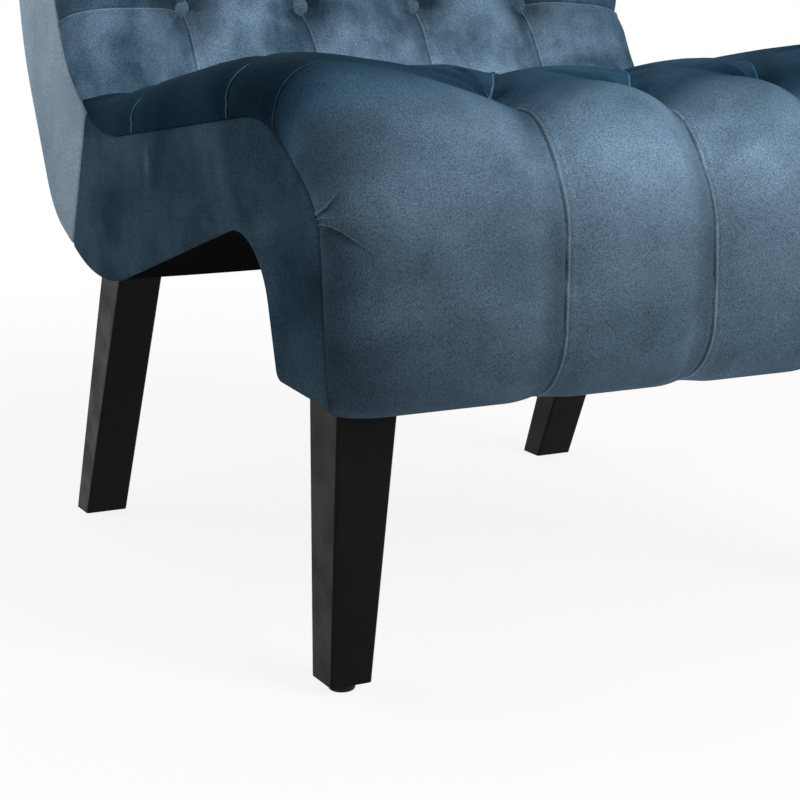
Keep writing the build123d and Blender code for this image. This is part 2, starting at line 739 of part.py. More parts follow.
def side_cover():
    """Left side cover in front of the seam of the back strip."""
    return slab(outline() - seam_side(True), COVER_INSIDE, WIDTH / 2)


def under_strip():
    """Side view of the sheet that runs down the outside back and along the underside."""
    return outline() - outline(rear=COVER, under=UNDER_COVER)


def outside_back_cover():
    """Outside back cover with the side strips sewn to it."""
    sheet = slab(under_strip() - seam_side(False), -WIDTH / 2, WIDTH / 2)
    strip = slab(outline() - seam_side(False), COVER_INSIDE, WIDTH / 2)
    return sheet + strip + mirror(strip, Plane.YZ)


def dust_cover():
    """Thin cover under the seat, open where the legs pass."""
    sheet = slab(under_strip() - seam_side(True), -COVER_INSIDE, COVER_INSIDE)
    legs = [front_leg(LEG_ROOM), rear_leg(LEG_ROOM)]
    return sheet - legs - [mirror(leg, Plane.YZ) for leg in legs]


def back_panel():
    """Hardboard behind the outside back cover."""
    face = outline(rear=COVER, under=UNDER_COVER) - outline(rear=COVER + BACK_PANEL, under=UNDER_COVER)
    return slab(face, -COVER_INSIDE, COVER_INSIDE)


def felt():
    """Felt over springs, straps and front board."""
    face = outline(under=UNDER_COVER) - outline(cover=FELT, under=UNDER_COVER)
    return slab(face, -COVER_INSIDE, COVER_INSIDE)


def front_board():
    """Bent board behind the front roll."""
    face = outline(cover=FELT, under=UNDER_COVER) - outline(cover=FELT + STRAP, under=UNDER_COVER)
    reach = half_view(SEAT_FRONT, left_of(SEAT_RUN), rear=True)
    return slab(face - reach, -COVER_INSIDE, COVER_INSIDE)


def wire_point(y):
    """Side-view point of the spring wires below the seat line."""
    drop = (FELT + WIRE_ROOM + WIRE_RADIUS) / cos(radians(SEAT_FALL))
    return Vector(y, slope_at(SEAT_FRONT, SEAT_FALL, y) - drop)


def spring():
    """One sinuous spring about the middle of the chair."""
    front, rear = wire_point(SPRING_FRONT_Y), wire_point(SPRING_REAR_Y)
    step = (rear - front).length / (SPRING_RUNS - 1)
    straight = SPRING_HALF_WIDTH - step / 2
    edges = []
    for i in range(SPRING_RUNS):
        side = 1 if i % 2 == 0 else -1
        y = i * step
        start_x = -side * (SPRING_HALF_WIDTH if i == 0 else straight)
        end_x = side * (SPRING_HALF_WIDTH if i == SPRING_RUNS - 1 else straight)
        edges.append(Line((start_x, y), (end_x, y)))
        if i < SPRING_RUNS - 1:
            turn = (side * SPRING_HALF_WIDTH, y + step / 2)
            edges.append(ThreePointArc((end_x, y), turn, (end_x, y + step)))
    plane = Plane(at(0, front), x_dir=(1, 0, 0), z_dir=at(0, left_of(SEAT_RUN)))
    path = plane * Wire(edges)
    section = Plane(path @ 0, z_dir=path % 0) * Circle(WIRE_RADIUS)
    return sweep(section, path)


def spring_stations():
    """Stations of the seat springs across the chair."""
    return [(i - (SPRING_COUNT - 1) / 2) * SPRING_PITCH for i in range(SPRING_COUNT)]


def seat_springs():
    """All sinuous springs of the seat."""
    wire = spring()
    return Compound([Pos(x, 0, 0) * wire for x in spring_stations()])


def spring_clips():
    """Clips that hold the springs' ends on the seat rails."""
    block = Pos(0, 0, (CLIP_TOP - CLIP_BASE) / 2) * Box(CLIP_WIDTH, CLIP_DEPTH, CLIP_BASE + CLIP_TOP)
    clip = block - Rot(0, 90, 0) * Cylinder(WIRE_RADIUS + CLIP_ROOM, CLIP_WIDTH * 2)
    ends = [wire_point(SPRING_FRONT_Y), wire_point(SPRING_REAR_Y)]
    return Compound([Pos(at(x, end)) * clip for x in spring_stations() for end in ends])


def back_straps():
    """Elastic straps across the back, on the front edges of the side frames."""
    turn_end = SEAT_REAR + BACK_RUN * BEND_LENGTH
    strap = Box((COVER_INSIDE - STRAP_INSET) * 2, STRAP_WIDTH, STRAP, align=CAP)
    straps = []
    for i in range(STRAP_COUNT):
        point = turn_end + BACK_RUN * (STRAP_START + i * STRAP_PITCH) - left_of(BACK_RUN) * FELT
        straps.append(Plane(at(0, point), x_dir=(1, 0, 0), z_dir=at(0, left_of(BACK_RUN))) * strap)
    return Compound(straps)


def both_sides(shapes):
    """The left shapes and their mirror images as one group."""
    return Compound(list(shapes) + [mirror(shape, Plane.YZ) for shape in shapes])


def build():
    """Every piece of the chair by its name."""
    leg_front, leg_rear = drilled_legs()
    bolts, washers, tnuts = leg_fasteners()
    pieces = {**pads(), **rail_solids()}
    paired = {
        "side_frame": side_frame(),
        "side_cover": side_cover(),
        "front_leg": leg_front,
        "rear_leg": leg_rear,
        "glide": glide(),
        "glide_insert": glide_insert(),
        "frame_screws": Compound(frame_screws()),
    }
    for name, shape in paired.items():
        pieces["left_" + name] = shape
        pieces["right_" + name] = mirror(shape, Plane.YZ)
    pieces.update(
        outside_back_cover=outside_back_cover(),
        dust_cover=dust_cover(),
        back_panel=back_panel(),
        felt=felt(),
        front_board=front_board(),
        seat_springs=seat_springs(),
        spring_clips=spring_clips(),
        back_straps=back_straps(),
        back_buttons=back_buttons(),
        seat_ties=seat_ties(),
        leg_bolts=both_sides(bolts),
        leg_washers=both_sides(washers),
        leg_tnuts=both_sides(tnuts),
    )
    return pieces


reach = crown_face().bounding_box()
to_middle = Pos(0, -(reach.min.X + reach.max.X) / 2, 0)
os.makedirs("parts", exist_ok=True)
for name, shape in build().items():
    export_step(to_middle * shape, f"parts/{name}.step")
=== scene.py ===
import json
from math import cos, pi, radians, sin, tan

import bmesh
import bpy
import numpy as np
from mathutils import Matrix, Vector, noise
from mathutils.geometry import delaunay_2d_cdt


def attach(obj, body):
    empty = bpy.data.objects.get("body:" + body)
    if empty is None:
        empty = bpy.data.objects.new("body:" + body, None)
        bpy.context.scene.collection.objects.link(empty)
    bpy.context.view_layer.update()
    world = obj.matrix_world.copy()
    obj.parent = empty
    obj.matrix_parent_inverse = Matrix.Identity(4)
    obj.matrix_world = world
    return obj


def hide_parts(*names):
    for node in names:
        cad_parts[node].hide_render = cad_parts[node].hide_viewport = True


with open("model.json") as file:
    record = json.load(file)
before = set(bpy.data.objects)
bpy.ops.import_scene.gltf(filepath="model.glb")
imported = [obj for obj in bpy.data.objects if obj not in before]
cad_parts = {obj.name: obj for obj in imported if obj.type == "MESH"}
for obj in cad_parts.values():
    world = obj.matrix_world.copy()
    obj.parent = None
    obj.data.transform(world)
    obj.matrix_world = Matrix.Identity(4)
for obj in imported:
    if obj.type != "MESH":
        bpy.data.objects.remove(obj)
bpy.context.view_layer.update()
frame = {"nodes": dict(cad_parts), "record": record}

# Side view in millimetres, y counted from the front glide, as in the part's source
MM = 0.001
SHIFT_Y = -297.02
SEAT_FALL = 7.1
BACK_LEAN = 16.5
PAD_FALL = 9.1
BACK_PAD = 38
SKIRT = (-61, 224)
KNEE = (-49, 358)
SEAT_FRONT = (38, 417)
SEAT_LENGTH = 441
SEAT_REAR = (SEAT_FRONT[0] + SEAT_LENGTH, SEAT_FRONT[1] - tan(radians(SEAT_FALL)) * SEAT_LENGTH)
FRAME_TOP_Z = 806
TOP_FRONT = (SEAT_REAR[0] + tan(radians(BACK_LEAN)) * (FRAME_TOP_Z - SEAT_REAR[1]), FRAME_TOP_Z)
TOP_DEPTH = 80
TOP_FALL = 8
TOP_REAR = (TOP_FRONT[0] + TOP_DEPTH, FRAME_TOP_Z - TOP_FALL)
LOIN = (617, 432)
HEEL = (543, 292)
LOBE = (415, 238)
ARCH = (57, 342)
DROP = (25, 229)
STRIP_SEAM = (486, 268)
PAD_TUCK = (-40, 212)
PAD_NOSE = (-98, 482)
TOP_PAD = 44

# Section of a pad: half width, rolled edge, how far the seam is drawn in, and how the ends close
PAD_HALF = 299
ROLL_WIDTH = 54
ROLL_POWER = 2.25
ROLL_STEPS = 60
SEAM_DRAW = 5
SEAM_POWER = 4
NOMINAL_HEIGHT = 46
TUCK_DRAW = 12
TUCK_LENGTH = 60
END_DRAW = 5
END_LENGTH = 36
END_DROP = 16
END_SINK = 1.5
END_FAN = 78

# Mesh steps of the pads: simulated grid, finished grid and paths; slack where lines meet; smoothing angle
COARSE = 7
FINE = 2.2
CROWN_STEP = 2
TINY = 1e-9
MEET_SLACK = 0.001
FOOT_SLACK = 0.01
SMOOTH_ANGLE = 50

# Tufts of the seat (y, count, depth) and of the back
PITCH = 120
SEAT_ROWS = ((28, 3, 17), (128, 4, 7), (228, 3, 10), (328, 4, 12))
BACK_ROW_START = 118
BACK_ROW_PITCH = 92
BACK_COUNTS = (4, 3, 4, 3)
BACK_DEPTH = 19
SEAT_PIT = (3.5, 13)
BACK_PIT = (9, 18)
# Painted shade round the tufts of the seat and the back (strength, radius)
SEAT_SHADE = (0.45, 20)
BACK_SHADE = (0.62, 32)
EDGE_HOLD = 0.12
EDGE_HOLD_REACH = 14

# Pleats: how far their valleys reach, and how they run out
PLEAT_REACH = 54
PLEAT_MIDDLE = 0.70
PLEAT_END = 5
PLEAT_LEAN = 6
TOP_PLEAT = 150
SIDE_FOLD_REACH = 28
SIDE_FOLD_LEAN = (-14, -8)
SIDE_FOLD_DEPTHS = (6.5, 5.5)
EDGE_FOLD_LEAN = -8
EDGE_FOLD_DEPTHS = (9, 5)
WANDER = 1.8
WANDER_LENGTH = 38
VALLEY_POWER = 2
UNION_POWER = 8
FAINT_FOLD = 0.3
FULL_FOLD = 6
FAR_AWAY = 99
MOST_DEPTH = 0.86

# Front channels (distance ahead of the first tufts, depth, reach inwards, reach outwards)
CHANNEL = (
    (0, 17, 58, 120), (25, 27, 60, 140), (70, 26, 60, 135), (151, 23, 56, 92),
    (200, 15, 42, 52), (240, 10.5, 36, 40), (300, 7.5, 30, 32), (345, 5, 28, 30),
    (400, 1.5, 28, 30),
)
CHANNEL_SPREAD = 0.045
SPREAD_START = 100
SPREAD_LENGTH = 140
PARALLEL_FOLD = 17
PARALLEL_DEPTHS = ((90, 0), (150, 10), (220, 5.5), (290, 3.6), (340, 0))
PARALLEL_REACH = 16

# Folds at the side edges of the front roll (start, extent, drift, depth; bend as shares of the last three)
PUCKER_Z = 362
PUCKER_DEPTH = 11
PUCKER_NOTCH = 8
PUCKER_REACH = 30
PUCKER_FOLDS = ((-6, 52, -26, 8.5), (6, 32, 13, 7.5), (0, 24, -4, 5))
PUCKER_BEND = (0.45, 0.3, 0.8)
LOW_NOTCH_Z = 222
LOW_NOTCH_DEPTH = 3
FOLD_REACH = 14

# Fold over the front of each side roll (inset, distance ahead, depth)
FRONT_FOLD = ((0, 4, 4), (45, 14, 3.5), (95, 34, 0))

# Fuller roll along each side of the seat: its rise, half width, and share by distance from the first tufts
BOLSTER_RISE = 10
BOLSTER_WIDTH = 62
BOLSTER_ALONG = ((10, 0), (95, 0.8), (160, 1), (330, 1), (420, 0.6), (470, 0.2))

# Hollow across the front of the seat, crease at the back, and lips beside the pleats
DISH_Z = 434
DISH_RADIUS = 1430
DISH_RISE = 7
DISH_RISE_Y = (10, 70)
DISH_SOFT = 5
DISH_END = 240
CREASE_DEPTH = 4
CREASE_REACH = 34
LIP_HEIGHT = 1.5
LIP_PLACE = 3.2
LIP_WIDTH = 2.2

# Painted shade along the pleats and painted highlight on the lips beside them (reach in millimetres,
# darkening, lip place and lightening), greyer highlights, and deeper colour in the painted shade
LINE_SHADE_REACH = (0.2, 2)
LINE_PAINTED_SHADE = -0.36
LINE_LIP = 1.7
LINE_LIP_REACH = (0.1, 0.95)
LINE_HIGHLIGHT_STOPS = (0.08, 0.36)
LINE_PAINTED_HIGHLIGHT = (0.55, 0.42)
LIP_HIGHLIGHT_GREY = 0.3
SHADE_SATURATION_STRENGTH = 1.5

# Painted light and shade on the seat: lighter and darker bands along it from under the roll, and painted
# shade on its side roll by the distance from the side edge
PAINTED_LIGHT_ALONG = (
    (0, 0.85), (60, 0.58), (100, 0.47), (150, 0.57), (190, 0.88), (215, 1.27), (236, 1.27),
    (252, 1.02), (266, 0.86), (282, 0.68), (305, 0.48), (335, 0.34), (390, 0.38), (600, 0.55),
)
PAINTED_SHADE_ACROSS = ((0, 0.26), (55, 0.36), (100, 0.52), (150, 0.66), (190, 0.84), (230, 1))
PAINTED_SHADE_EDGE = (
    (0, 1), (80, 0.9), (110, 0.34), (190, 0.34), (222, 1), (250, 0.8), (282, 0.2),
    (320, 0.3), (370, 1),
)
# Stronger colour in the painted shade: along the seat, at its side edge, and on the back
SHADE_SATURATION_ALONG = ((190, 0), (250, 0.18), (285, 0.45), (330, 0.75), (400, 1))
SHADE_SATURATION_SIDE = ((0, 0.2), (100, 0.1), (160, 0))
BACK_SHADE_SATURATION = 0.7
# Painted shade on the back pad towards its side edges (inset, lightness)
BACK_PAINTED_SHADE_ACROSS = ((0, 0.55), (60, 0.70), (110, 0.85), (150, 1))
PAINTED_LIGHT_BLUR = 8
FAR_SIDE_SHADE = 0.34
FAR_SIDE_PLACE = -8
FAR_SIDE_WIDTH = 13

# Cloth simulation
CLOTH_SETTINGS = {
    "quality": 5, "mass": 0.3, "tension_stiffness": 18, "compression_stiffness": 18, "shear_stiffness": 8,
    "bending_stiffness": 1.5, "use_pressure": True, "uniform_pressure_force": 4,
}
CLOTH_FRAMES = 20
CLOTH_CAP = 9
PIN_REACH = 7

# Flat covers in metres: slack, outer and inner face, rounded edge, rings beside it, grid within, unevenness
SAME = 0.00001
FACE_SLACK = 0.0001
MERGE = 0.000001
PANEL_X = 0.295
PANEL_BACK_X = 0.2912
PANEL_ROUND = 0.0036
PANEL_RINGS = (0.0004, 0.0011, 0.0021, PANEL_ROUND, 0.0080)
RING_KEEP = 0.8
PANEL_STEP = 0.005
PANEL_GRID = 0.008
PANEL_ANGLE = 70
PANEL_UNEVEN = 0.0009
PANEL_NOISE = 9
PANEL_FADE = 0.03
WRINKLE = 0.0013
WRINKLE_Z = 0.42
WRINKLE_RISE = 0.1
WRINKLE_FADE = 0.012
WRINKLE_PITCH = 0.016
WRINKLE_NOISE = (14, 9)
WRINKLE_WANDER = 3

# Outside back and dust cloth in millimetres, and the places of the legs that the cloth is slotted for
SHEET_THICK = 3.6
SHEET_HALF = 294
SHEET_ROLL = 6
SHEET_STEP = 5
SHEET_UNEVEN = 1.2
SHEET_NOISE = (0.006, 0.5)
SHEET_FADE = 40
DUST_STEP = 6
DUST_COLUMNS = 60
DUST_HALF = 290.8
DUST_SAG = 1.2
DUST_NOISE = (0.008, 2)
DUST_LIFT = 1.6
DUST_THICK = 0.8
LEG_X = ((223.5, 274.5), (231.5, 274.5))
FRONT_LEG_Y = (-34, 19)
REAR_LEG_Y = ((537, 0.4806), (574, 0.403))

# Buttons and stitches in millimetres, and their steps
BUTTON_RADIUS = 11
BUTTON_HEIGHT = 6
BUTTON_SINK = 4
BUTTON_FOOT = 0.8
BUTTON_TIP = 0.4
BUTTON_RIPPLE = 0.03
BUTTON_GATHERS = 9
GATHER_POWER = 3
KNOT_RADIUS = 2.6
KNOT_FLAT = 0.7
KNOT_TIP = 0.2
SPOKES = 28
PROFILE_STEPS = 9

# Lightness of the plain pieces, low and high, and lighter and darker marks (y, z, width, height, lightness)
SIDE_TONE = (0.85, 0.85)
FRONT_MARK = (-0.345, 0.29, 0.07, 0.09, -0.22)
SIDE_MARKS = {"left": (FRONT_MARK,), "right": (FRONT_MARK, (-0.016, 0.361, 0.004, 0.013, 1.2))}
BUTTON_TONE = (0.62, 0.62)
STRIP_TONE_Z = (0.26, 0.52)
STRIP_TONE = (0.6, 1)
# The outside back is darker than the strips, whose velvet carries painted light
SHEET_TONE = (0.45, 0.6)

# Velvets: brushed dark, brushed light and sheen
PAD_LOOK = ((0.077, 0.125, 0.174), (0.134, 0.207, 0.283), 0.06)
BACK_LOOK = ((0.052, 0.100, 0.150), (0.166, 0.262, 0.364), 0.08)
BUTTON_LOOK = (*BACK_LOOK[:2], 0.2)
# The sides' velvet is a darker copy with painted shade and the strips' a lighter copy with painted light,
# partly for pile direction
SIDE_PAINTED_SHADE_LOOK = ((0.020, 0.042, 0.064), (0.047, 0.084, 0.118), 0.03)
STRIP_PAINTED_LIGHT_LOOK = ((0.238, 0.316, 0.388), (0.338, 0.435, 0.520), 0.4)
SHEEN_TINT = (0.38, 0.56, 0.72)
SHEEN_ROUGH = 0.4
VELVET_ROUGH = 0.85
VELVET_BUMP = (0.4, 0.0008)

# Brushed patches of velvet (scale, direction, broad share, warp, finer scale, stops), and its pile
PATCH_SCALE = 10
PATCH_BRUSHED = (1, 0.6, 1)
BACK_PATCH = 16
BACK_BRUSHED = (1, 1, 0.35)
PATCH_SHARE = 0.80
PATCH_WARP = 0.6
PATCH_FINER = 6
PATCH_STOPS = (0.36, 0.64)
PILE_SCALE = 1100
PILE_SHADES = (0.62, 1.38)
PILE_RELIEF = 0.6
FLOCK_SCALE = 260

# Grain of all materials: detail, stops between which tones run; and look of the dust cloth
GRAIN_DETAIL = 2
WIDE_STOPS = (0.3, 0.7)
NARROW_STOPS = (0.35, 0.65)
DUST_LOOK = (((0.003, 0.003, 0.003), (0.008, 0.008, 0.0085)), 600)

# Camera at the photograph's angle, surround and floor, and soft lamps (name, place, aim, size, power)
CAMERA_PLACE = (-0.838, -1.236 + SHIFT_Y * MM, 0.516)
CAMERA_YAW = 26.98
CAMERA_DIP = 12.38
LENS = 88.8
WORLD_LIGHT = 0.35
FLOOR_SIZE = 14
FLOOR_ROUGH = 0.95
FLOOR_SHINE = 0.1
FLOOR_WHITE = 0.93
FLOOR_FADE = (0.7, 1.7)
FLOOR_GLOW = 0.86
LAMPS = (
    ("key", (0.9, -2.6, 1.7), (0.0, -0.1, 0.4), 1.5, 75),
    ("left_rear", (-1.9, 1.2, 0.9), (-0.3, 0.25, 0.5), 1.2, 12),
    ("overhead", (0.0, 0.2, 2.6), (0.0, 0.0, 0.3), 2.0, 16),
)


def length(vectors):
    """Length of each vector."""
    return np.linalg.norm(vectors, axis=-1)


def unit(vectors):
    """Vectors with a length of one."""
    return np.asarray(vectors, float) / length(vectors)[..., None]


def turning(a, b):
    """Cross product of vectors of the side view."""
    return a[..., 0] * b[..., 1] - a[..., 1] * b[..., 0]


def crossing(a, run_a, b, run_b):
    """Where two lines of the side view meet."""
    a, b, run_a, run_b = (np.asarray(v, float) for v in (a, b, run_a, run_b))
    return a + run_a * turning(b - a, run_b) / turning(run_a, run_b)


SEAT_RUN = np.array([cos(radians(PAD_FALL)), -sin(radians(PAD_FALL))])
BACK_RUN = np.array([sin(radians(BACK_LEAN)), cos(radians(BACK_LEAN))])
BACK_OUT = np.array([-BACK_RUN[1], BACK_RUN[0]])
BACK_START = np.array(SEAT_REAR) + BACK_OUT * BACK_PAD
PAD_CREASE = crossing(PAD_NOSE, SEAT_RUN, BACK_START, BACK_RUN)
TOP_RUN = np.subtract(TOP_REAR, TOP_FRONT)
PAD_TOP = np.array(TOP_FRONT) + (0.0, TOP_PAD)
PAD_TOP_FRONT = crossing(BACK_START, BACK_RUN, PAD_TOP, TOP_RUN)
PAD_TOP_REAR = crossing(PAD_TOP, TOP_RUN, TOP_REAR, np.subtract(LOIN, TOP_REAR))
REAR_RUN = unit(np.subtract(LOIN, TOP_REAR))
PAD_END = np.array(TOP_REAR) + REAR_RUN * END_DROP + np.array([REAR_RUN[1], -REAR_RUN[0]]) * END_SINK

# Corners of the paths (point, radius): crown of the pads, the edge they rest on, outside back and underside
CROWN_CORNERS = ((PAD_TUCK, 0), ((PAD_NOSE[0], PAD_TUCK[1]), 58), (PAD_NOSE, 126), (PAD_CREASE, 40),
                 (PAD_TOP_FRONT, 72), (PAD_TOP_REAR, 36), (PAD_END, 0))
BASE_CORNERS = ((DROP, 0), (SKIRT, 0), (KNEE, 60), (SEAT_FRONT, 110), (SEAT_REAR, 155),
                (TOP_FRONT, 40), (TOP_REAR, 12), (PAD_END, 0))
REAR_CORNERS = ((TOP_REAR, 0), (LOIN, 250), (HEEL, 90), (STRIP_SEAM, 0))
UNDER_CORNERS = ((STRIP_SEAM, 0), (LOBE, 190), (ARCH, 62), (DROP, 10), (SKIRT, 0))


# Paths of the side view

def mileage(path):
    """Distance covered at each point of a path."""
    return np.concatenate([[0.0], np.cumsum(length(np.diff(path, axis=0)))])


def at(places, marks, path):
    """Points of a path at places between its marks."""
    return np.stack([np.interp(places, marks, path[:, i]) for i in range(2)], axis=-1)


def square(path):
    """Direction square to a path at each of its points, to the right of its run."""
    run = unit(np.gradient(path, axis=0))
    return np.stack([run[:, 1], -run[:, 0]], axis=1)


def resample(points, step):
    """Points at an even spacing along a path."""
    marks = mileage(points)
    return at(np.linspace(0.0, marks[-1], max(2, round(marks[-1] / step) + 1)), marks, points)


def rounded_path(corners, step):
    """Points along a path through corners (point, radius)."""
    points = [np.asarray(corners[0][0], float)]
    for (before, _), (corner, radius), (after, _) in zip(corners, corners[1:], corners[2:]):
        corner = np.asarray(corner, float)
        if not radius:
            points.append(corner)
            continue
        back, on = unit(before - corner), unit(after - corner)
        half = np.arccos(np.clip(back @ on, -1, 1)) / 2
        centre = corner + unit(back + on) * radius / sin(half)
        first = corner + back * radius / tan(half) - centre
        last = corner + on * radius / tan(half) - centre
        turn = np.arctan2(turning(first, last), first @ last)
        start = np.arctan2(first[1], first[0])
        angles = start + turn * np.linspace(0, 1, max(3, int(abs(turn) * radius / step)))
        points += list(centre + radius * np.stack([np.cos(angles), np.sin(angles)], axis=1))
    points.append(np.asarray(corners[-1][0], float))
    return resample(np.array(points), step)


def feet_on(crown, base):
    """Base point below each crown point, in a fan round the top rear corner."""
    down, run = square(crown), np.diff(base, axis=0)
    apart = base[:-1] - crown[:, None]
    turn = turning(down[:, None], run)
    turn = np.where(np.abs(turn) < TINY, TINY, turn)
    along, share = turning(apart, run) / turn, turning(apart, down[:, None]) / turn
    met = (share >= -MEET_SLACK) & (share <= 1 + MEET_SLACK) & (along >= -FOOT_SLACK)
    depth = np.where(met, along, np.inf).min(axis=1)
    found = np.isfinite(depth)
    depth = np.interp(np.arange(len(depth)), np.nonzero(found)[0], depth[found])
    feet = crown + down * depth[:, None]
    fan = len(crown) - round(END_FAN / CROWN_STEP)
    first = np.argmin(length(base - feet[fan]))
    feet[fan:] = at(np.linspace(first, len(base) - 1, len(crown) - fan), np.arange(len(base)), base)
    return feet


class Surface:
    """Rolled section swept along a crown line."""

    def __init__(self, crown, base, half, roll, draw, height, tuck=0.0, end_draw=0.0):
        self.crown, self.base, self.tuck, self.end_draw = crown, base, tuck, end_draw
        self.along = mileage(crown)
        angle = np.linspace(pi / 2, 0, ROLL_STEPS)
        rise = np.sin(angle) ** (2 / ROLL_POWER)
        out = half - roll + roll * np.cos(angle) ** (2 / ROLL_POWER) - draw * (1 - rise) ** SEAM_POWER
        rolled = half - roll + mileage(np.stack([out, rise * height], axis=1))
        self.table = np.concatenate([[0.0], rolled])
        self.out = np.concatenate([[0.0], out])
        self.rise = np.concatenate([[1.0], rise])
        self.edge = self.table[-1]

    def grid(self, step):
        """Even places across and along."""
        across = np.linspace(-self.edge, self.edge, int(2 * self.edge / step) // 2 * 2 + 1)
        along = np.linspace(0, self.along[-1], int(self.along[-1] / step) + 1)
        return np.meshgrid(across, along)

    def station(self, point):
        """Place along the crown nearest to a point."""
        return self.along[np.argmin(length(self.crown - np.asarray(point)))]

    def inset(self, across):
        """Distance of places from the side edge."""
        return self.edge - np.abs(across)

    def heights(self, along):
        """Depth of the padding at places along the crown."""
        return np.interp(along, self.along, length(self.crown - self.base))

    def points(self, across, along):
        """Points and outward normals of places."""
        narrow = self.tuck * np.clip(1 - along / TUCK_LENGTH, 0, 1) ** 2
        narrow = narrow + self.end_draw * np.clip(1 - (self.along[-1] - along) / END_LENGTH, 0, 1) ** 2
        wide = np.interp(np.abs(across), self.table, self.out)
        x = np.sign(across) * (wide - narrow * np.abs(across) / self.edge)
        rise = np.interp(np.abs(across), self.table, self.rise)
        crown, base = (at(along, self.along, path) for path in (self.crown, self.base))
        spots = np.concatenate([x[..., None], base + (crown - base) * rise[..., None]], axis=-1)
        return spots, unit(np.cross(np.gradient(spots, axis=1), np.gradient(spots, axis=0)))


# Tufts and pleats: a pleat is a run of points (across, along, depth, reach inwards, reach outwards)

def stations(count):
    """Places across of one row of tufts."""
    return [(i - (count - 1) / 2) * PITCH for i in range(count)]


def pleat(points, reach):
    """Pleat through points (across, along, depth) with an even reach."""
    return [(*point, reach, reach) for point in points]


def both(points, reach, flipped=False):
    """A pleat and its mirror image, with the lips behind them, or ahead if flipped."""
    mirrored = [(-across, along, depth) for across, along, depth in points]
    return [pleat(sorted(run, reverse=flipped), reach) for run in (points, mirrored)]


def sagging(start, end):
    """Points of a pleat between two tufts, shallower half way."""
    middle = (np.array(start) + np.array(end)) / 2
    return [start, (middle[0], middle[1], middle[2] * PLEAT_MIDDLE), end]


def diamonds(rows):
    """Pleats between neighbouring tufts of rows (along, places across, depth)."""
    made = []
    for (low, low_xs, low_depth), (high, high_xs, high_depth) in zip(rows, rows[1:]):
        for a in low_xs:
            near = [b for b in high_xs if abs(a - b) < PITCH]
            made += [pleat(sagging((a, low, low_depth), (b, high, high_depth)), PLEAT_REACH) for b in near]
    return made


def seat_rows(surface):
    """Rows of tufts on the seat."""
    rows = []
    for y, count, depth in SEAT_ROWS:
        crown = np.array(PAD_NOSE) + SEAT_RUN * (y - PAD_NOSE[0]) / SEAT_RUN[0]
        rows.append((surface.station(crown), stations(count), depth))
    return rows


def back_rows(surface):
    """Rows of tufts on the back."""
    rows = []
    for i, count in enumerate(BACK_COUNTS):
        crown = BACK_START + BACK_RUN * (BACK_ROW_START + i * BACK_ROW_PITCH)
        rows.append((surface.station(crown), stations(count), BACK_DEPTH))
    return rows


def channels(first, xs):
    """Sewn channels from the first tufts over the front roll."""
    made = []
    for x in xs:
        points = []
        for ahead, depth, inner, outer in CHANNEL:
            apart = 1 + CHANNEL_SPREAD * np.clip((ahead - SPREAD_START) / SPREAD_LENGTH, 0, 1)
            points.append((x * apart, max(first - ahead, 0.0), depth, inner, outer if x else inner))
        made.append(points)
    return made


def soft_fold(first):
    """Soft fold beside the middle channel."""
    points = [(-PARALLEL_FOLD, first - ahead, depth) for ahead, depth in PARALLEL_DEPTHS]
    return [pleat(points, PARALLEL_REACH)]


def notch(surface, z, depth, reach):
    """Notches in both side edges of the front roll at one height."""
    place = surface.station((PAD_NOSE[0], z))
    return both([(surface.edge, place, depth), (surface.edge - PUCKER_NOTCH, place, 0.0)], reach)


def pucker(surface):
    """Gather in the side edges of the front roll: notches and short folds."""
    edge, place = surface.edge, surface.station((PAD_NOSE[0], PUCKER_Z))
    made = notch(surface, PUCKER_Z, PUCKER_DEPTH, PUCKER_REACH)
    for start, extent, drift, depth in PUCKER_FOLDS:
        inset, move, bent = (part * share for part, share in zip((extent, drift, depth), PUCKER_BEND))
        points = [(edge, place + start, depth), (edge - inset, place + start + move, bent)]
        made += both(points + [(edge - extent, place + start + drift, 0.0)], FOLD_REACH)
    return made + notch(surface, LOW_NOTCH_Z, LOW_NOTCH_DEPTH, FOLD_REACH)


def side_folds(edge, row, depth, lean, depths, flipped=False):
    """Folds from the outermost tufts of a row to both side edges."""
    place, wide = row[0], max(row[1])
    points = [(wide, place, depth), ((wide + edge) / 2, place + lean / 2, depths[0])]
    return both(points + [(edge, place + lean, depths[1])], SIDE_FOLD_REACH, flipped)


def seat_pleats(surface):
    """All pleats of the seat pad."""
    rows = seat_rows(surface)
    first, (last, last_xs, last_depth), edge = rows[0][0], rows[-1], surface.edge
    made = diamonds(rows) + channels(first, rows[0][1]) + pucker(surface)
    for x in last_xs:
        made.append(pleat([(x, last, last_depth), (x, surface.along[-1], PLEAT_END)], PLEAT_REACH))
    for row, lean in zip(rows[1::2], SIDE_FOLD_LEAN):
        made += side_folds(edge, row, row[2], lean, SIDE_FOLD_DEPTHS)
    front = [(edge - inset, first - ahead, depth) for inset, ahead, depth in FRONT_FOLD]
    return made + both(front, SIDE_FOLD_REACH)


def back_pleats(surface):
    """All pleats of the back pad."""
    rows = back_rows(surface)
    (low, low_xs, _), (high, high_xs, _) = rows[0], rows[-1]
    made = diamonds(rows)
    made += [pleat([(x, low, BACK_DEPTH), (x + PLEAT_LEAN, 0.0, PLEAT_END)], PLEAT_REACH) for x in low_xs]
    made += [pleat([(x, high, BACK_DEPTH), (x, high + TOP_PLEAT, 0.0)], PLEAT_REACH) for x in high_xs]
    for row in rows:
        if len(row[1]) == max(BACK_COUNTS):
            depth = BACK_DEPTH * PLEAT_MIDDLE
            made += side_folds(surface.edge, row, depth, EDGE_FOLD_LEAN, EDGE_FOLD_DEPTHS, True)
    return made


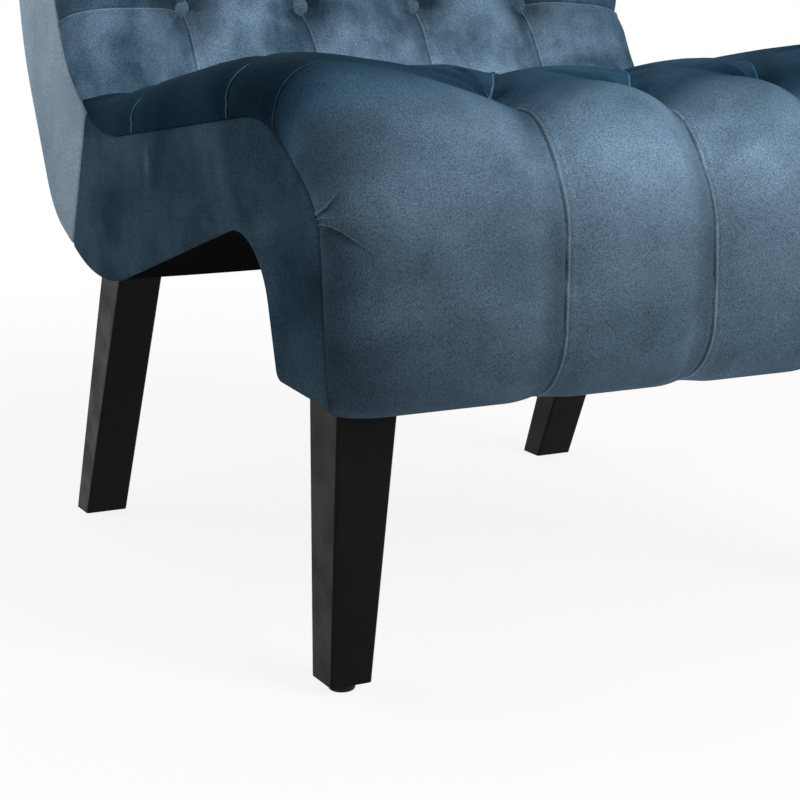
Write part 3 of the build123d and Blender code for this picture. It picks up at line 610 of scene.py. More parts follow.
def nearest(across, along, points):
    """Distance to a pleat, side of it, and its depth and reach there."""
    best = np.full(across.shape, np.inf)
    side, depth, reach = (np.zeros(across.shape) for _ in range(3))
    for a, b in zip(np.array(points), np.array(points[1:])):
        run = b - a
        share = np.clip(((across - a[0]) * run[0] + (along - a[1]) * run[1]) / (run[:2] @ run[:2]), 0, 1)
        away_x, away_y = across - a[0] - run[0] * share, along - a[1] - run[1] * share
        distance = np.hypot(away_x, away_y)
        closer = distance < best
        best = np.where(closer, distance, best)
        side = np.where(closer, np.where(run[0] * away_y < run[1] * away_x, -1.0, 1.0), side)
        depth = np.where(closer, a[2] + run[2] * share, depth)
        outside = np.abs(across) > np.abs(a[0] + run[0] * share)
        reach = np.where(closer, np.where(outside, a[4] + run[4] * share, a[3] + run[3] * share), reach)
    return best, side, depth, reach


def wandering(across, along):
    """Places moved to and fro, so that pleats wander as hand-laid ones do."""
    to_side = np.sin(along / WANDER_LENGTH + np.sin(across / WANDER_LENGTH))
    to_rear = np.sin(across / WANDER_LENGTH + np.cos(along / WANDER_LENGTH))
    return across + WANDER * to_side, along + WANDER * to_rear


def relief(across, along, pleats, soft):
    """Depth of places, signed distance from the nearest pleat, and how sharp that is."""
    across, along = wandering(across, along)
    total, sharp = np.zeros(across.shape), np.zeros(across.shape)
    closest, signed = np.full(across.shape, np.inf), np.full(across.shape, FAR_AWAY)
    for points, sewn in [(run, False) for run in soft] + [(run, True) for run in pleats]:
        distance, side, depth, reach = nearest(across, along, points)
        total += (depth * np.clip(1 - distance / reach, 0, 1) ** VALLEY_POWER) ** UNION_POWER
        closer = sewn & (distance < closest) & (depth > FAINT_FOLD)
        closest = np.where(closer, distance, closest)
        signed = np.where(closer, distance * side, signed)
        sharp = np.where(closer, np.clip(depth / FULL_FOLD, 0, 1), sharp)
    return total ** (1 / UNION_POWER), signed, sharp


def tuft_spots(across, along, rows, radius):
    """Round spots at the tufts, one in the middle and fading out."""
    spots = np.zeros(across.shape)
    for place, xs, _ in rows:
        for x in xs:
            spots += np.exp(-((across - x) ** 2 + (along - place) ** 2) / radius ** 2)
    return spots


def by_table(places, table):
    """Values at places by a table (place, value)."""
    return np.interp(places, *zip(*table))


def bolster(surface, across, along, rows):
    """Height of the fuller roll along each side of the seat."""
    inset = np.clip(surface.inset(across) / BOLSTER_WIDTH - 1, -1, 1)
    return BOLSTER_RISE * by_table(along - rows[0][0], BOLSTER_ALONG) * np.cos(inset * pi / 2) ** 2


def dish(spots):
    """Depth of the broad hollow across the front of the seat."""
    level = DISH_Z + np.interp(spots[..., 1], DISH_RISE_Y, (0.0, DISH_RISE))
    over = spots[..., 2] - level - spots[..., 0] ** 2 / (2 * DISH_RADIUS)
    return DISH_SOFT * np.log1p(np.exp(over / DISH_SOFT)) * (spots[..., 1] < DISH_END)


# Meshes

def to_frame(points):
    """Side-view millimetres as metres in the shared frame."""
    return (np.asarray(points, float) + (0.0, SHIFT_Y, 0.0)) * MM


def new_object(name, verts, faces, smooth_angle=SMOOTH_ANGLE):
    """Smooth mesh object with outward faces, sharp only at hard edges."""
    mesh = bpy.data.meshes.new(name)
    mesh.from_pydata([tuple(v) for v in verts], [], [tuple(int(i) for i in f) for f in faces])
    box = bmesh.new()
    box.from_mesh(mesh)
    bmesh.ops.recalc_face_normals(box, faces=box.faces)
    box.to_mesh(mesh)
    box.free()
    mesh.shade_smooth()
    mesh.set_sharp_from_angle(angle=radians(smooth_angle))
    piece = bpy.data.objects.new(name, mesh)
    bpy.context.scene.collection.objects.link(piece)
    return piece


def closed_faces(rows, cols):
    """Faces of a grid, its underside and its two ends."""
    index = np.arange(rows * cols).reshape(rows, cols)
    top = np.stack([index[:-1, :-1], index[:-1, 1:], index[1:, 1:], index[1:, :-1]], axis=-1).reshape(-1, 4)
    under = np.stack([index[:-1, -1], index[:-1, 0], index[1:, 0], index[1:, -1]], axis=-1)
    return list(top) + list(under) + [index[0][::-1], index[-1]]


def grid_object(name, spots):
    """Closed object from a grid of points of the side view and across."""
    return new_object(name, to_frame(spots).reshape(-1, 3), closed_faces(*spots.shape[:2]))


def blurred(values, times):
    """Grid of values with neighbours averaged several times over."""
    for _ in range(times):
        for axis in (0, 1):
            pad = [(1, 1) if i == axis else (0, 0) for i in range(values.ndim)]
            wide = np.pad(values, pad, mode="edge")
            low, high = (np.take(wide, range(i, i + values.shape[axis]), axis=axis) for i in (0, 2))
            values = values / 2 + (low + high) / 4
    return values


def swell(name, spots, signed, along_edge):
    """How far cloth under pressure, held at pleats and edges, moves the points of a grid."""
    piece = grid_object(name + "_cloth", spots)
    held = (np.abs(signed) < PIN_REACH) | along_edge
    pins = piece.vertex_groups.new(name="held")
    pins.add([int(i) for i in np.nonzero(held.ravel())[0]], 1.0, "REPLACE")
    fabric = piece.modifiers.new("cloth", "CLOTH")
    for setting, value in CLOTH_SETTINGS.items():
        setattr(fabric.settings, setting, value)
    fabric.settings.vertex_group_mass = pins.name
    fabric.settings.effector_weights.gravity = 0
    fabric.collision_settings.use_self_collision = False
    scene = bpy.context.scene
    fabric.point_cache.frame_end = CLOTH_FRAMES
    for number in range(1, CLOTH_FRAMES + 1):
        scene.frame_set(number)
    done = piece.evaluated_get(bpy.context.evaluated_depsgraph_get()).data
    moved = np.reshape([v.co for v in done.vertices], spots.shape) - to_frame(spots)
    bpy.data.objects.remove(piece)
    scene.frame_set(1)
    moved /= MM
    size = length(moved)
    return moved * (np.minimum(size, CLOTH_CAP) / np.maximum(size, TINY))[..., None]


def stretched(values, shape):
    """Grid of values spread smoothly over a finer grid."""
    for axis, count in enumerate(shape):
        places = np.linspace(0, values.shape[axis] - 1, count)
        low = np.minimum(places.astype(int), values.shape[axis] - 2)
        share = np.reshape(places - low, [-1 if i == axis else 1 for i in range(values.ndim)])
        values = np.take(values, low, axis) * (1 - share) + np.take(values, low + 1, axis) * share
    return blurred(values, int(COARSE / FINE) * 2)


def store(piece, name, values):
    """Keeps a number for each point of a mesh, for its material."""
    layer = piece.data.attributes.new(name, "FLOAT", "POINT")
    layer.data.foreach_set("value", np.asarray(values, np.float32).ravel())


def crease_relief(surface, along, at_end):
    """Roll of a pad towards the crease between seat and back."""
    away = (surface.along[-1] - along) if at_end else along
    return CREASE_DEPTH * np.clip(1 - away / CREASE_REACH, 0, 1) ** 2


def seat_painted_light(surface, across, along):
    """Painted light and shade on the seat by place along and across."""
    by_across = by_table(surface.inset(across), PAINTED_SHADE_ACROSS)
    return blurred(by_table(along, PAINTED_LIGHT_ALONG) * by_across ** by_table(along, PAINTED_SHADE_EDGE), PAINTED_LIGHT_BLUR)


def pressed(surface, pleats, soft, rows, is_seat, step):
    """Grid of a pad with tufts and pleats pressed in: places, points, normals and pleat marks."""
    pit_depth, pit_radius = SEAT_PIT if is_seat else BACK_PIT
    across, along = surface.grid(step)
    spots, normals = surface.points(across, along)
    depth, signed, sharp = relief(across, along, pleats, soft)
    depth *= np.clip(EDGE_HOLD + surface.inset(across) / EDGE_HOLD_REACH, 0, 1)
    pits = pit_depth * tuft_spots(across, along, rows, pit_radius)
    depth += pits + crease_relief(surface, along, is_seat)
    if is_seat:
        depth += dish(spots) - bolster(surface, across, along, rows)
    depth = np.minimum(depth, surface.heights(along) * MOST_DEPTH)
    return across, along, spots - normals * depth[..., None], normals, signed, sharp


def brush(piece, surface, across, along, signed, sharp, rows, is_seat):
    """Marks on a pad for its velvet: pleats, painted light and shade, and stronger colour in the painted
    shade.
    """
    shade, shade_radius = SEAT_SHADE if is_seat else BACK_SHADE
    inset = surface.inset(across)
    tone_and_painted_light = seat_painted_light(surface, across, along) if is_seat else by_table(inset, BACK_PAINTED_SHADE_ACROSS)
    # Painted shade on the far side of each pleat
    beside = (signed < 0) * np.exp(-((signed - FAR_SIDE_PLACE) / FAR_SIDE_WIDTH) ** 2)
    tone_and_painted_light = tone_and_painted_light * (1 - FAR_SIDE_SHADE * beside * sharp)
    shade_saturation = BACK_SHADE_SATURATION * (1 - tone_and_painted_light)
    if is_seat:
        shade_saturation = by_table(along, SHADE_SATURATION_ALONG) + by_table(inset, SHADE_SATURATION_SIDE)
    # Painted shade round the tufts
    shaded = 1 - shade * np.minimum(tuft_spots(across, along, rows, shade_radius), 1)
    store(piece, "pleat", signed)
    store(piece, "sharp", sharp)
    store(piece, "tone_and_painted_light", tone_and_painted_light * shaded)
    store(piece, "shade_saturation", np.clip(shade_saturation, 0, 1))


def tufted_pad(name, surface, pleats, soft, rows, is_seat):
    """Tufted pad with pleats, cloth swelling and a lip beside each pleat, and the spots of its tufts."""
    form = (surface, pleats, soft, rows, is_seat)
    across, along, spots, normals, signed, sharp = pressed(*form, FINE)
    far_across, far_along, far_spots, _, far_signed, _ = pressed(*form, COARSE)
    edge = np.abs(far_across) > surface.edge - COARSE
    edge |= (far_along < COARSE) | (far_along > surface.along[-1] - COARSE)
    spots = spots + stretched(swell(name, far_spots, far_signed, edge), spots.shape[:2])
    lip = LIP_HEIGHT * sharp * np.exp(-((signed - LIP_PLACE) / LIP_WIDTH) ** 2)
    spots = spots + normals * lip[..., None]
    piece = grid_object(name, spots)
    brush(piece, surface, across, along, signed, sharp, rows, is_seat)
    tufts = []
    for place, xs, _ in rows:
        for x in xs:
            spot = np.unravel_index(np.argmin((across - x) ** 2 + (along - place) ** 2), across.shape)
            tufts.append((to_frame(spots[spot]), normals[spot]))
    return piece, tufts


def pads():
    """Seat pad and back pad, each with the surface points of its tufts."""
    crown = rounded_path(CROWN_CORNERS, CROWN_STEP)
    base = feet_on(crown, rounded_path(BASE_CORNERS, CROWN_STEP))
    bend = np.argmin(length(crown - PAD_CREASE))
    section = (PAD_HALF, ROLL_WIDTH, SEAM_DRAW, NOMINAL_HEIGHT)
    seat = Surface(crown[:bend + 1], base[:bend + 1], *section, TUCK_DRAW)
    back = Surface(crown[bend:], base[bend:], *section, end_draw=END_DRAW)
    beside = soft_fold(seat_rows(seat)[0][0])
    return (tufted_pad("seat_cushion", seat, seat_pleats(seat), beside, seat_rows(seat), True),
            tufted_pad("back_cushion", back, back_pleats(back), [], back_rows(back), False))


# Flat covers

def rim(node, x):
    """Outline (y, z) of the flat side face of a CAD node at one place across."""
    box = bmesh.new()
    box.from_mesh(frame["nodes"][node].data)
    bmesh.ops.remove_doubles(box, verts=box.verts, dist=SAME)
    side = {face for face in box.faces if all(abs(v.co.x - x) < FACE_SLACK for v in face.verts)}
    edges = [edge for edge in box.edges if sum(face in side for face in edge.link_faces) == 1]
    spot = edges[0].verts[0]
    loop = []
    while edges:
        edge = next(e for e in edges if spot in e.verts)
        edges.remove(edge)
        loop.append((spot.co.y, spot.co.z))
        spot = edge.other_vert(spot)
    box.free()
    return np.array(loop)


def split_long(loop, step):
    """Closed outline with extra points on its long runs."""
    points = []
    for a, b in zip(loop, np.roll(loop, -1, axis=0)):
        count = max(1, int(length(b - a) / step))
        points += [a + (b - a) * i / count for i in range(count)]
    return np.array(points)


def inward(loop):
    """Direction into a closed outline at each of its points."""
    run = unit(np.roll(loop, -1, axis=0) - np.roll(loop, 1, axis=0))
    area = np.sum(turning(loop, np.roll(loop, -1, axis=0)))
    return np.stack([-run[:, 1], run[:, 0]], axis=1) * np.sign(area)


def to_loop(points, loop):
    """Distance of points from a closed outline."""
    ahead = np.roll(loop, -1, axis=0) - loop
    away = points[:, None] - loop[None]
    share = np.clip((away * ahead).sum(-1) / (ahead ** 2).sum(-1), 0, 1)
    return length(away - ahead * share[..., None]).min(axis=1)


def inside(points, loop):
    """True for points inside a closed outline."""
    y, z = points[:, None, 0], points[:, None, 1]
    (y0, z0), (y1, z1) = loop.T, np.roll(loop, -1, axis=0).T
    crosses = (z0 > z) != (z1 > z)
    rise = np.where(z1 == z0, 1.0, z1 - z0)
    return (crosses & (y < y0 + (z - z0) * (y1 - y0) / rise)).sum(axis=1) % 2 == 1


def cover_points(loop):
    """Points of a cover: outline, rings beside it and a loose grid within."""
    kept = [loop]
    for gap in PANEL_RINGS:
        ring = loop + inward(loop) * gap
        kept.append(ring[inside(ring, loop) & (to_loop(ring, loop) > gap * RING_KEEP)])
    low, high = loop.min(axis=0), loop.max(axis=0)
    loose = np.stack(np.meshgrid(*[np.arange(a, b, PANEL_GRID) for a, b in zip(low, high)]), axis=-1)
    loose = loose.reshape(-1, 2)
    loose = loose[inside(loose, loop)]
    return np.concatenate(kept + [loose[to_loop(loose, loop) > PANEL_RINGS[-1] + PANEL_GRID / 2]])


def uneven(a, b, scale, layer):
    """Smooth unevenness at a place of a sheet."""
    return noise.noise(Vector((a * scale, b * scale, layer)))


def panel(name, loop, side, wrinkle=None):
    """Cover on one side of the chair: rounded edge, a little uneven within."""
    loop = split_long(loop, PANEL_STEP)
    ring = [(i, (i + 1) % len(loop)) for i in range(len(loop))]
    made = delaunay_2d_cdt([Vector(p) for p in cover_points(loop)], ring, [], 1, MERGE)
    spots, faces = np.array([tuple(v) for v in made[0]]), made[2]
    gap = to_loop(spots, loop)
    over = np.clip(1 - gap / PANEL_ROUND, 0, 1)
    lift = np.array([uneven(y, z, PANEL_NOISE, side) for y, z in spots])
    hollow = PANEL_ROUND * (1 - np.sqrt(1 - over ** 2))
    x_out = PANEL_X - hollow + lift * PANEL_UNEVEN * np.clip(gap / PANEL_FADE, 0, 1)
    if wrinkle:
        x_out += np.array([wrinkle(y, z) for y, z in spots]) * np.clip(gap / WRINKLE_FADE, 0, 1)
    count = len(spots)
    outer = np.column_stack([x_out * side, spots])
    inner = np.column_stack([np.full(count, PANEL_BACK_X * side), spots])
    back_faces = [[i + count for i in face] for face in faces]
    wall_faces = [(a, b, b + count, a + count) for a, b in border(faces)]
    faces = list(faces) + back_faces + wall_faces
    return new_object(name, np.concatenate([outer, inner]), faces, PANEL_ANGLE)


def border(faces):
    """Edges that belong to one face only."""
    seen = {}
    for face in faces:
        for a, b in zip(face, list(face[1:]) + [face[0]]):
            seen.setdefault(frozenset((a, b)), []).append((a, b))
    return [edges[0] for edges in seen.values() if len(edges) == 1]


def strip_wrinkle(y, z):
    """Faint upright wrinkles in the upper part of the back strip."""
    fade = np.clip((z - WRINKLE_Z) / WRINKLE_RISE, 0, 1)
    along = y - (z - WRINKLE_Z) * tan(radians(BACK_LEAN))
    wander = noise.noise(Vector((y * WRINKLE_NOISE[0], z * WRINKLE_NOISE[1], 0))) * WRINKLE_WANDER
    return fade * WRINKLE * sin(along * 2 * pi / WRINKLE_PITCH + wander)


def side_covers(word, side):
    """Side cover and back strip of one side."""
    cover = rim(word + "_side_cover", side * PANEL_X)
    strip = rim("outside_back_cover", side * PANEL_X)
    return panel(word + "_side_panel", cover, side), panel(word + "_back_strip", strip, side, strip_wrinkle)


def outside_back():
    """Outside back between the strips, softly uneven."""
    crown = rounded_path(REAR_CORNERS, CROWN_STEP)
    base = crown + square(crown) * SHEET_THICK
    surface = Surface(crown, base, SHEET_HALF, SHEET_ROLL, 0.0, SHEET_THICK)
    across, along = surface.grid(SHEET_STEP)
    spots, normals = surface.points(across, along)
    lift = [uneven(x, y, *SHEET_NOISE) for x, y in zip(across.ravel(), along.ravel())]
    middle = np.clip(surface.inset(across) / SHEET_FADE, 0, 1)
    spots = spots + normals * (np.reshape(lift, across.shape) * SHEET_UNEVEN * middle)[..., None]
    return grid_object("outside_back_panel", spots)


def dust_cloth():
    """Thin cloth under the seat with a slot for each leg."""
    path = rounded_path(UNDER_CORNERS, DUST_STEP)
    columns = np.linspace(-DUST_HALF, DUST_HALF, DUST_COLUMNS)
    columns = np.unique(np.concatenate([columns] + [[-a, -b, a, b] for a, b in LEG_X]))
    faces = []
    verts = [(x, y, z + DUST_LIFT + DUST_SAG * uneven(x, y, *DUST_NOISE)) for y, z in path for x in columns]
    width = len(columns)
    for i in range(len(path) - 1):
        y, z = (path[i] + path[i + 1]) / 2
        for j in range(width - 1):
            x = abs(columns[j] + columns[j + 1]) / 2
            if not in_leg(x, y, z):
                a = i * width + j
                faces.append((a, a + 1, a + width + 1, a + width))
    piece = new_object("dust_cloth", to_frame(verts), faces)
    box = bmesh.new()
    box.from_mesh(piece.data)
    bmesh.ops.delete(box, geom=[v for v in box.verts if not v.link_faces], context="VERTS")
    bmesh.ops.solidify(box, geom=box.faces[:], thickness=DUST_THICK * MM)
    bmesh.ops.recalc_face_normals(box, faces=box.faces)
    box.to_mesh(piece.data)
    box.free()
    return piece, mileage(path)[-1]


def in_leg(x, y, z):
    """True where a leg passes through the dust cloth."""
    (front_in, front_out), (rear_in, rear_out) = LEG_X
    in_front = front_in < x < front_out and FRONT_LEG_Y[0] < y < FRONT_LEG_Y[1]
    rear_low, rear_high = (start - slope * z for start, slope in REAR_LEG_Y)
    return in_front or (rear_in < x < rear_out and rear_low < y < rear_high)


# Buttons and stitches

def turned(profile, place, normal, ripple):
    """Verts and faces of a round shape (radius, height) about a normal, gathered at its rim."""
    normal = Vector(normal).normalized()
    first = normal.orthogonal().normalized()
    second = normal.cross(first)
    verts, faces = [], []
    for radius, height in profile:
        for k in range(SPOKES):
            angle = 2 * pi * k / SPOKES
            wave = 1 + ripple * (radius / BUTTON_RADIUS) ** GATHER_POWER * cos(angle * BUTTON_GATHERS)
            spot = first * cos(angle) * radius * wave + second * sin(angle) * radius * wave + normal * height
            verts.append(tuple(Vector(place) + spot * MM))
    for i in range(len(profile) - 1):
        for k in range(SPOKES):
            a, b = i * SPOKES + k, i * SPOKES + (k + 1) % SPOKES
            faces.append((a, b, b + SPOKES, a + SPOKES))
    faces.append(tuple(range(SPOKES)))
    faces.append(tuple(len(verts) - 1 - k for k in range(SPOKES)))
    return verts, faces


def joined(name, shapes):
    """One object from several sets of verts and faces."""
    verts, faces = [], []
    for more_verts, more_faces in shapes:
        faces += [tuple(i + len(verts) for i in face) for face in more_faces]
        verts += more_verts
    return new_object(name, verts, faces)


def buttons(tufts):
    """Covered buttons in the tufts of the back."""
    angles = np.linspace(0, pi / 2, PROFILE_STEPS)
    dome = [(BUTTON_RADIUS * cos(a), BUTTON_HEIGHT * sin(a)) for a in angles[:-1]]
    profile = [(BUTTON_RADIUS * BUTTON_FOOT, -BUTTON_SINK)] + dome + [(BUTTON_TIP, BUTTON_HEIGHT)]
    return joined("button_covers", [turned(profile, place, normal, BUTTON_RIPPLE) for place, normal in tufts])


def stitches(tufts):
    """Small sewn knots in the tufts of the seat."""
    angles = np.linspace(-pi / 2, pi / 2, PROFILE_STEPS)
    knot = [(max(KNOT_TIP, KNOT_RADIUS * cos(a)), KNOT_RADIUS * sin(a) * KNOT_FLAT) for a in angles]
    return joined("tuft_stitches", [turned(knot, place, normal, 0.0) for place, normal in tufts])


# Materials

def join(tree, value, socket):
    """Links a node's result to a socket, or sets a constant on it."""
    if isinstance(value, bpy.types.NodeSocket):
        tree.links.new(value, socket)
    else:
        socket.default_value = value


def add(tree, kind, inputs=(), **settings):
    """New node with its settings and its inputs by socket."""
    node = tree.nodes.new(kind)
    for name, value in settings.items():
        setattr(node, name, value)
    for socket, value in dict(inputs).items():
        join(tree, value, node.inputs[socket])
    return node


def grain(tree, scale, detail=GRAIN_DETAIL, stretch=(1, 1, 1), distortion=0.0):
    """Noise in the object's own space."""
    coords = add(tree, "ShaderNodeTexCoord")
    mapping = add(tree, "ShaderNodeMapping", {"Vector": coords.outputs["Object"], "Scale": stretch})
    inputs = {"Vector": mapping.outputs["Vector"], "Scale": scale, "Detail": detail, "Distortion": distortion}
    return add(tree, "ShaderNodeTexNoise", inputs).outputs["Fac"]


def ramp(tree, value, stops, tones):
    """Colour from a value: a dark tone up to the first stop, a light one from the second."""
    node = add(tree, "ShaderNodeValToRGB", {"Fac": value})
    for element, position, tone in zip(node.color_ramp.elements, stops, tones):
        element.position = position
        element.color = (*tone, 1)
    return node.outputs["Color"]


def spread(tree, value, low, high, to_low, to_high):
    """Value moved smoothly from one range to another."""
    inputs = {"Value": value, "From Min": low, "From Max": high, "To Min": to_low, "To Max": to_high}
    return add(tree, "ShaderNodeMapRange", inputs, interpolation_type="SMOOTHSTEP").outputs["Result"]


def maths(tree, kind, *values):
    """Result of one sum on values or numbers."""
    return add(tree, "ShaderNodeMath", enumerate(values), operation=kind).outputs["Value"]


def tinted(tree, colour, factor):
    """Colour made darker or lighter by a factor that varies."""
    inputs = {0: colour, "Scale": factor}
    return add(tree, "ShaderNodeVectorMath", inputs, operation="SCALE").outputs["Vector"]


def bumped(tree, shader, height, strength, distance):
    """Relief of a shader from a height."""
    node = add(tree, "ShaderNodeBump", {"Height": height, "Strength": strength, "Distance": distance})
    join(tree, node.outputs["Normal"], shader.inputs["Normal"])


def blank(name, roughness, **sockets):
    """New material with its node tree and shader."""
    made = bpy.data.materials.new(name)
    made.use_nodes = True
    shader = made.node_tree.nodes["Principled BSDF"]
    shader.inputs["Roughness"].default_value = roughness
    for socket, value in sockets.items():
        shader.inputs[socket.replace("_", " ")].default_value = value
    return made, made.node_tree, shader


def attribute(tree, name):
    """Number kept at each point of a mesh."""
    return add(tree, "ShaderNodeAttribute", attribute_name=name).outputs["Fac"]


def pleat_shade_and_highlight(tree):
    """Painted shade in the pleats and painted highlight on the lips beside them."""
    signed, sharp = attribute(tree, "pleat"), attribute(tree, "sharp")
    dark = spread(tree, maths(tree, "ABSOLUTE", signed), *LINE_SHADE_REACH, LINE_PAINTED_SHADE, 0.0)
    lip = maths(tree, "ABSOLUTE", maths(tree, "SUBTRACT", signed, LINE_LIP))
    light = spread(tree, attribute(tree, "tone_and_painted_light"), *LINE_HIGHLIGHT_STOPS, *LINE_PAINTED_HIGHLIGHT)
    light = maths(tree, "MULTIPLY", light, spread(tree, lip, *LINE_LIP_REACH, 1.0, 0.0))
    shade = maths(tree, "MULTIPLY", dark, sharp)
    return maths(tree, "ADD", shade, 1.0), maths(tree, "MULTIPLY", light, sharp)


def shade_saturated(tree, colour, lip):
    """Colour that is stronger in the painted shade, and greyer on the painted highlights of the lips."""
    shade_saturation = spread(tree, attribute(tree, "shade_saturation"), 0.0, 1.0, 1.0, SHADE_SATURATION_STRENGTH)
    strength = maths(tree, "SUBTRACT", shade_saturation, maths(tree, "MULTIPLY", lip, LIP_HIGHLIGHT_GREY))
    return add(tree, "ShaderNodeHueSaturation", {"Saturation": strength, "Color": colour}).outputs["Color"]


def velvet(name, dark, light, sheen, pleated=False, patch=PATCH_SCALE, brushed=PATCH_BRUSHED):
    """Short-pile velvet: brushed patches, pile grain, soft sheen, tone and painted light kept on its mesh,
    and painted shade and highlights along its pleats.
    """
    made, tree, shader = blank(name, VELVET_ROUGH, Sheen_Weight=sheen, Sheen_Roughness=SHEEN_ROUGH,
                               Sheen_Tint=(*SHEEN_TINT, 1), Specular_IOR_Level=0.0)
    broad = maths(tree, "MULTIPLY", grain(tree, patch, distortion=PATCH_WARP), PATCH_SHARE)
    small = maths(tree, "MULTIPLY", grain(tree, patch * PATCH_FINER, stretch=brushed), 1 - PATCH_SHARE)
    colour = ramp(tree, maths(tree, "ADD", broad, small), PATCH_STOPS, (dark, light))
    pile = grain(tree, PILE_SCALE)
    factor = maths(tree, "MULTIPLY", spread(tree, pile, *WIDE_STOPS, *PILE_SHADES), attribute(tree, "tone_and_painted_light"))
    if pleated:
        shade, lip = pleat_shade_and_highlight(tree)
        factor = maths(tree, "ADD", maths(tree, "MULTIPLY", factor, shade), lip)
        colour = shade_saturated(tree, colour, lip)
    join(tree, tinted(tree, colour, factor), shader.inputs["Base Color"])
    height = maths(tree, "ADD", maths(tree, "MULTIPLY", pile, PILE_RELIEF), grain(tree, FLOCK_SCALE))
    bumped(tree, shader, height, *VELVET_BUMP)
    return made


def grained(name, tones, roughness, texture, stops=WIDE_STOPS, bump=None, smear=None, wear=None, **sockets):
    """Material between two tones along a texture (scale, detail, stretch), which may be raised and worn."""
    made, tree, shader = blank(name, roughness, **sockets)
    marks = grain(tree, *texture)
    join(tree, ramp(tree, marks, stops, tones), shader.inputs["Base Color"])
    if bump:
        bumped(tree, shader, marks, *bump)
    if smear:
        low, high = (roughness + change for change in wear)
        join(tree, spread(tree, grain(tree, *smear), *WIDE_STOPS, low, high), shader.inputs["Roughness"])
    return made


def paint(name, tones, roughness):
    """Satin paint over faint wood grain."""
    return grained(name, tones, roughness, texture=(90.0, 5.0, (1, 1, 0.06)), bump=(0.18, 0.0004),
                   smear=(35.0, 4.0), wear=(-0.07, 0.1), Specular_IOR_Level=0.07)


def timber(name, tones):
    """Raw board with long grain across the chair."""
    return grained(name, tones, roughness=0.7, texture=(70.0, 6.0, (0.08, 1, 1)), bump=(0.2, 0.0004))


def cloth(name, tones, scale):
    """Plain or pressed cloth with a small mottled texture."""
    return grained(name, tones, roughness=0.92, texture=(scale, 3.0), bump=(0.4, 0.0006),
                   Specular_IOR_Level=0.0)


def steel(name, tones, roughness):
    """Plated steel with fine scratches."""
    scratches = (400.0, 3.0, (1, 1, 0.1))
    return grained(name, tones, roughness, scratches, NARROW_STOPS, smear=scratches, wear=(-0.08, 0.12),
                   Metallic=1.0)


def plastic(name, tones, roughness, shine):
    """Moulded plastic with a fine texture."""
    return grained(name, tones, roughness, texture=(700.0,), stops=NARROW_STOPS, bump=(0.2, 0.0002),
                   Specular_IOR_Level=shine)


# Slots of the nodes that stay: kind of material, dark and light tone, then roughness and shine, or scale
SLOT_LOOKS = {
    "black_wood": (paint, ((0.00195, 0.00195, 0.0021), (0.00351, 0.00351, 0.00378)), 0.4),
    "plywood": (timber, ((0.40, 0.26, 0.13), (0.66, 0.49, 0.29))),
    "hardboard": (timber, ((0.20, 0.12, 0.06), (0.30, 0.19, 0.10))),
    "felt": (cloth, ((0.30, 0.29, 0.28), (0.46, 0.45, 0.43)), 260.0),
    "webbing": (cloth, ((0.04, 0.04, 0.045), (0.10, 0.10, 0.11)), 500.0),
    "spring_steel": (steel, ((0.357, 0.357, 0.374), (0.462, 0.462, 0.484)), 0.42),
    "zinc_steel": (steel, ((0.527, 0.527, 0.544), (0.682, 0.682, 0.704)), 0.34),
    "nylon": (plastic, ((0.595, 0.5865, 0.5525), (0.805, 0.7935, 0.7475)), 0.5, 0.5),
    "black_plastic": (plastic, ((0.00595, 0.00595, 0.006375), (0.00805, 0.00805, 0.008625)), 0.5, 0.12),
}


def dress_nodes():
    """Gives every CAD node that stays the material of its slot."""
    made = {slot: kind(slot, *look) for slot, (kind, *look) in SLOT_LOOKS.items()}
    for row in frame["record"]["subparts"]:
        material = made.get(row["material_slot"])
        if material:
            node = frame["nodes"][row["node"]]
            node.data.materials.clear()
            node.data.materials.append(material)


def plain_tone(piece, low=1.0, high=1.0, marks=()):
    """Lightness of a plain piece by height, with lighter and darker marks."""
    spots = np.array([v.co for v in piece.data.vertices])
    tone_and_painted_light = np.interp(spots[:, 2], STRIP_TONE_Z, (low, high))
    for y, z, width, height, gain in marks:
        tone_and_painted_light += gain * np.exp(-((spots[:, 1] - y) / width) ** 2 - ((spots[:, 2] - z) / height) ** 2)
    store(piece, "tone_and_painted_light", tone_and_painted_light)


def mount(piece, material, slot, *nodes):
    """Puts a piece on the chair with its material, hiding the CAD nodes that it replaces; the slot is not
    used.
    """
    piece.data.materials.append(material)
    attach(piece, "chair")
    if nodes:
        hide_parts(*nodes)


# Camera, light and floor

def aimed(name, data, spot, look):
    """Camera or lamp at a place, turned to look in a direction."""
    made = bpy.data.objects.new(name, data)
    bpy.context.scene.collection.objects.link(made)
    made.location = spot
    made.rotation_mode = "QUATERNION"
    made.rotation_quaternion = look.to_track_quat("-Z", "Y")
    return made


def camera():
    """Camera at the photograph's place."""
    data = bpy.data.cameras.new("camera")
    data.lens = LENS
    yaw, dip = radians(CAMERA_YAW), radians(CAMERA_DIP)
    look = Vector((sin(yaw) * cos(dip), cos(yaw) * cos(dip), -sin(dip)))
    bpy.context.scene.camera = aimed("camera", data, CAMERA_PLACE, look)


def area_light(name, spot, aim, size, power):
    """Square soft light aimed at a point."""
    lamp = bpy.data.lights.new(name, "AREA")
    lamp.size = size
    lamp.energy = power
    aimed(name, lamp, spot, Vector(aim) - Vector(spot))


def seen_rays(tree):
    """One for what the eye, mirrors and glass see, nought for cast light."""
    rays = add(tree, "ShaderNodeLightPath").outputs
    mirrored = maths(tree, "MAXIMUM", rays["Is Glossy Ray"], rays["Is Transmission Ray"])
    return maths(tree, "MAXIMUM", rays["Is Camera Ray"], mirrored)


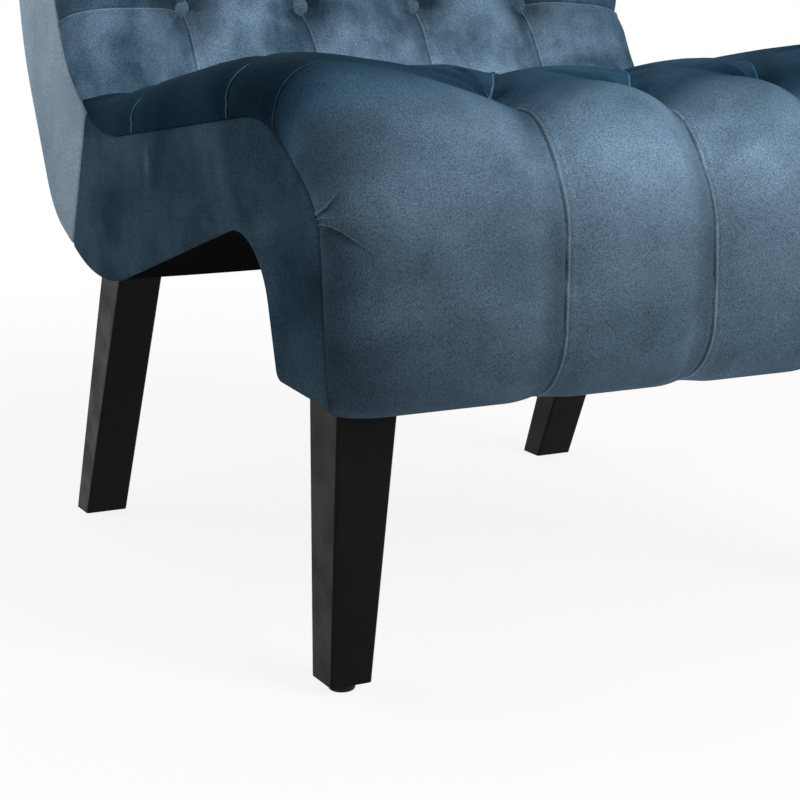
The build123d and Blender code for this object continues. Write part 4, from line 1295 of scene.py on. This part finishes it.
def surround():
    """World that is white to the eye and softer as light."""
    world = bpy.data.worlds.new("surround")
    world.use_nodes = True
    tree = world.node_tree
    sky = tree.nodes["Background"].inputs
    join(tree, spread(tree, seen_rays(tree), 0.0, 1.0, WORLD_LIGHT, 1.0), sky["Strength"])
    sky["Color"].default_value = (1, 1, 1, 1)
    bpy.context.scene.world = world


def floor():
    """Pale plain floor that fades to white away from the chair."""
    bpy.ops.mesh.primitive_plane_add(size=FLOOR_SIZE)
    made = bpy.context.object
    made.name = "floor"
    paper, tree, shader = blank("paper", FLOOR_ROUGH, Specular_IOR_Level=FLOOR_SHINE,
                                Base_Color=(FLOOR_WHITE, FLOOR_WHITE, FLOOR_WHITE, 1))
    spot = add(tree, "ShaderNodeTexCoord").outputs["Object"]
    reach = add(tree, "ShaderNodeVectorMath", {0: spot}, operation="LENGTH").outputs["Value"]
    share = maths(tree, "MULTIPLY", spread(tree, reach, *FLOOR_FADE, FLOOR_GLOW, 1.0), seen_rays(tree))
    glow = add(tree, "ShaderNodeEmission").outputs["Emission"]
    mix = add(tree, "ShaderNodeMixShader", {"Fac": share, 1: shader.outputs["BSDF"], 2: glow})
    join(tree, mix.outputs["Shader"], tree.nodes["Material Output"].inputs["Surface"])
    made.data.materials.append(paper)


def studio():
    """Floor, surround and soft lamps."""
    floor()
    surround()
    for lamp in LAMPS:
        area_light(*lamp)
    bpy.context.scene.view_settings.view_transform = "Standard"


# Put the chair together
pad_velvet = velvet("pad_velvet", *PAD_LOOK, pleated=True)
back_velvet = velvet("back_velvet", *BACK_LOOK, pleated=True, patch=BACK_PATCH, brushed=BACK_BRUSHED)
button_velvet = velvet("button_velvet", *BUTTON_LOOK)
# Darker copy of the velvet with painted shade for the sides, lighter copy with painted light for the strips
side_velvet = velvet("side_velvet", *SIDE_PAINTED_SHADE_LOOK)
strip_painted_light_velvet = velvet("strip_painted_light_velvet", *STRIP_PAINTED_LIGHT_LOOK)
(seat, seat_tufts), (back, back_tufts) = pads()
mount(seat, pad_velvet, "pad_velvet", "seat_pad")
mount(back, back_velvet, "pad_velvet", "back_pad")
knobs = buttons(back_tufts)
plain_tone(knobs, *BUTTON_TONE)
mount(knobs, button_velvet, "pad_velvet", "back_buttons")
knots = stitches(seat_tufts)
plain_tone(knots)
mount(knots, side_velvet, "pad_velvet", "seat_ties")
for word, side in (("left", 1), ("right", -1)):
    cover, strip = side_covers(word, side)
    plain_tone(cover, *SIDE_TONE, SIDE_MARKS[word])
    plain_tone(strip, *STRIP_TONE)
    mount(cover, side_velvet, "side_velvet", word + "_side_cover")
    mount(strip, strip_painted_light_velvet, "side_velvet")
back_sheet = outside_back()
# Outside back kept darker than the strips, whose velvet carries painted light
plain_tone(back_sheet, *SHEET_TONE)
mount(back_sheet, strip_painted_light_velvet, "side_velvet", "outside_back_cover")
dust, dust_length = dust_cloth()
mount(dust, cloth("dust_cloth", *DUST_LOOK), "dust_cloth", "dust_cover")
dress_nodes()
camera()
studio()
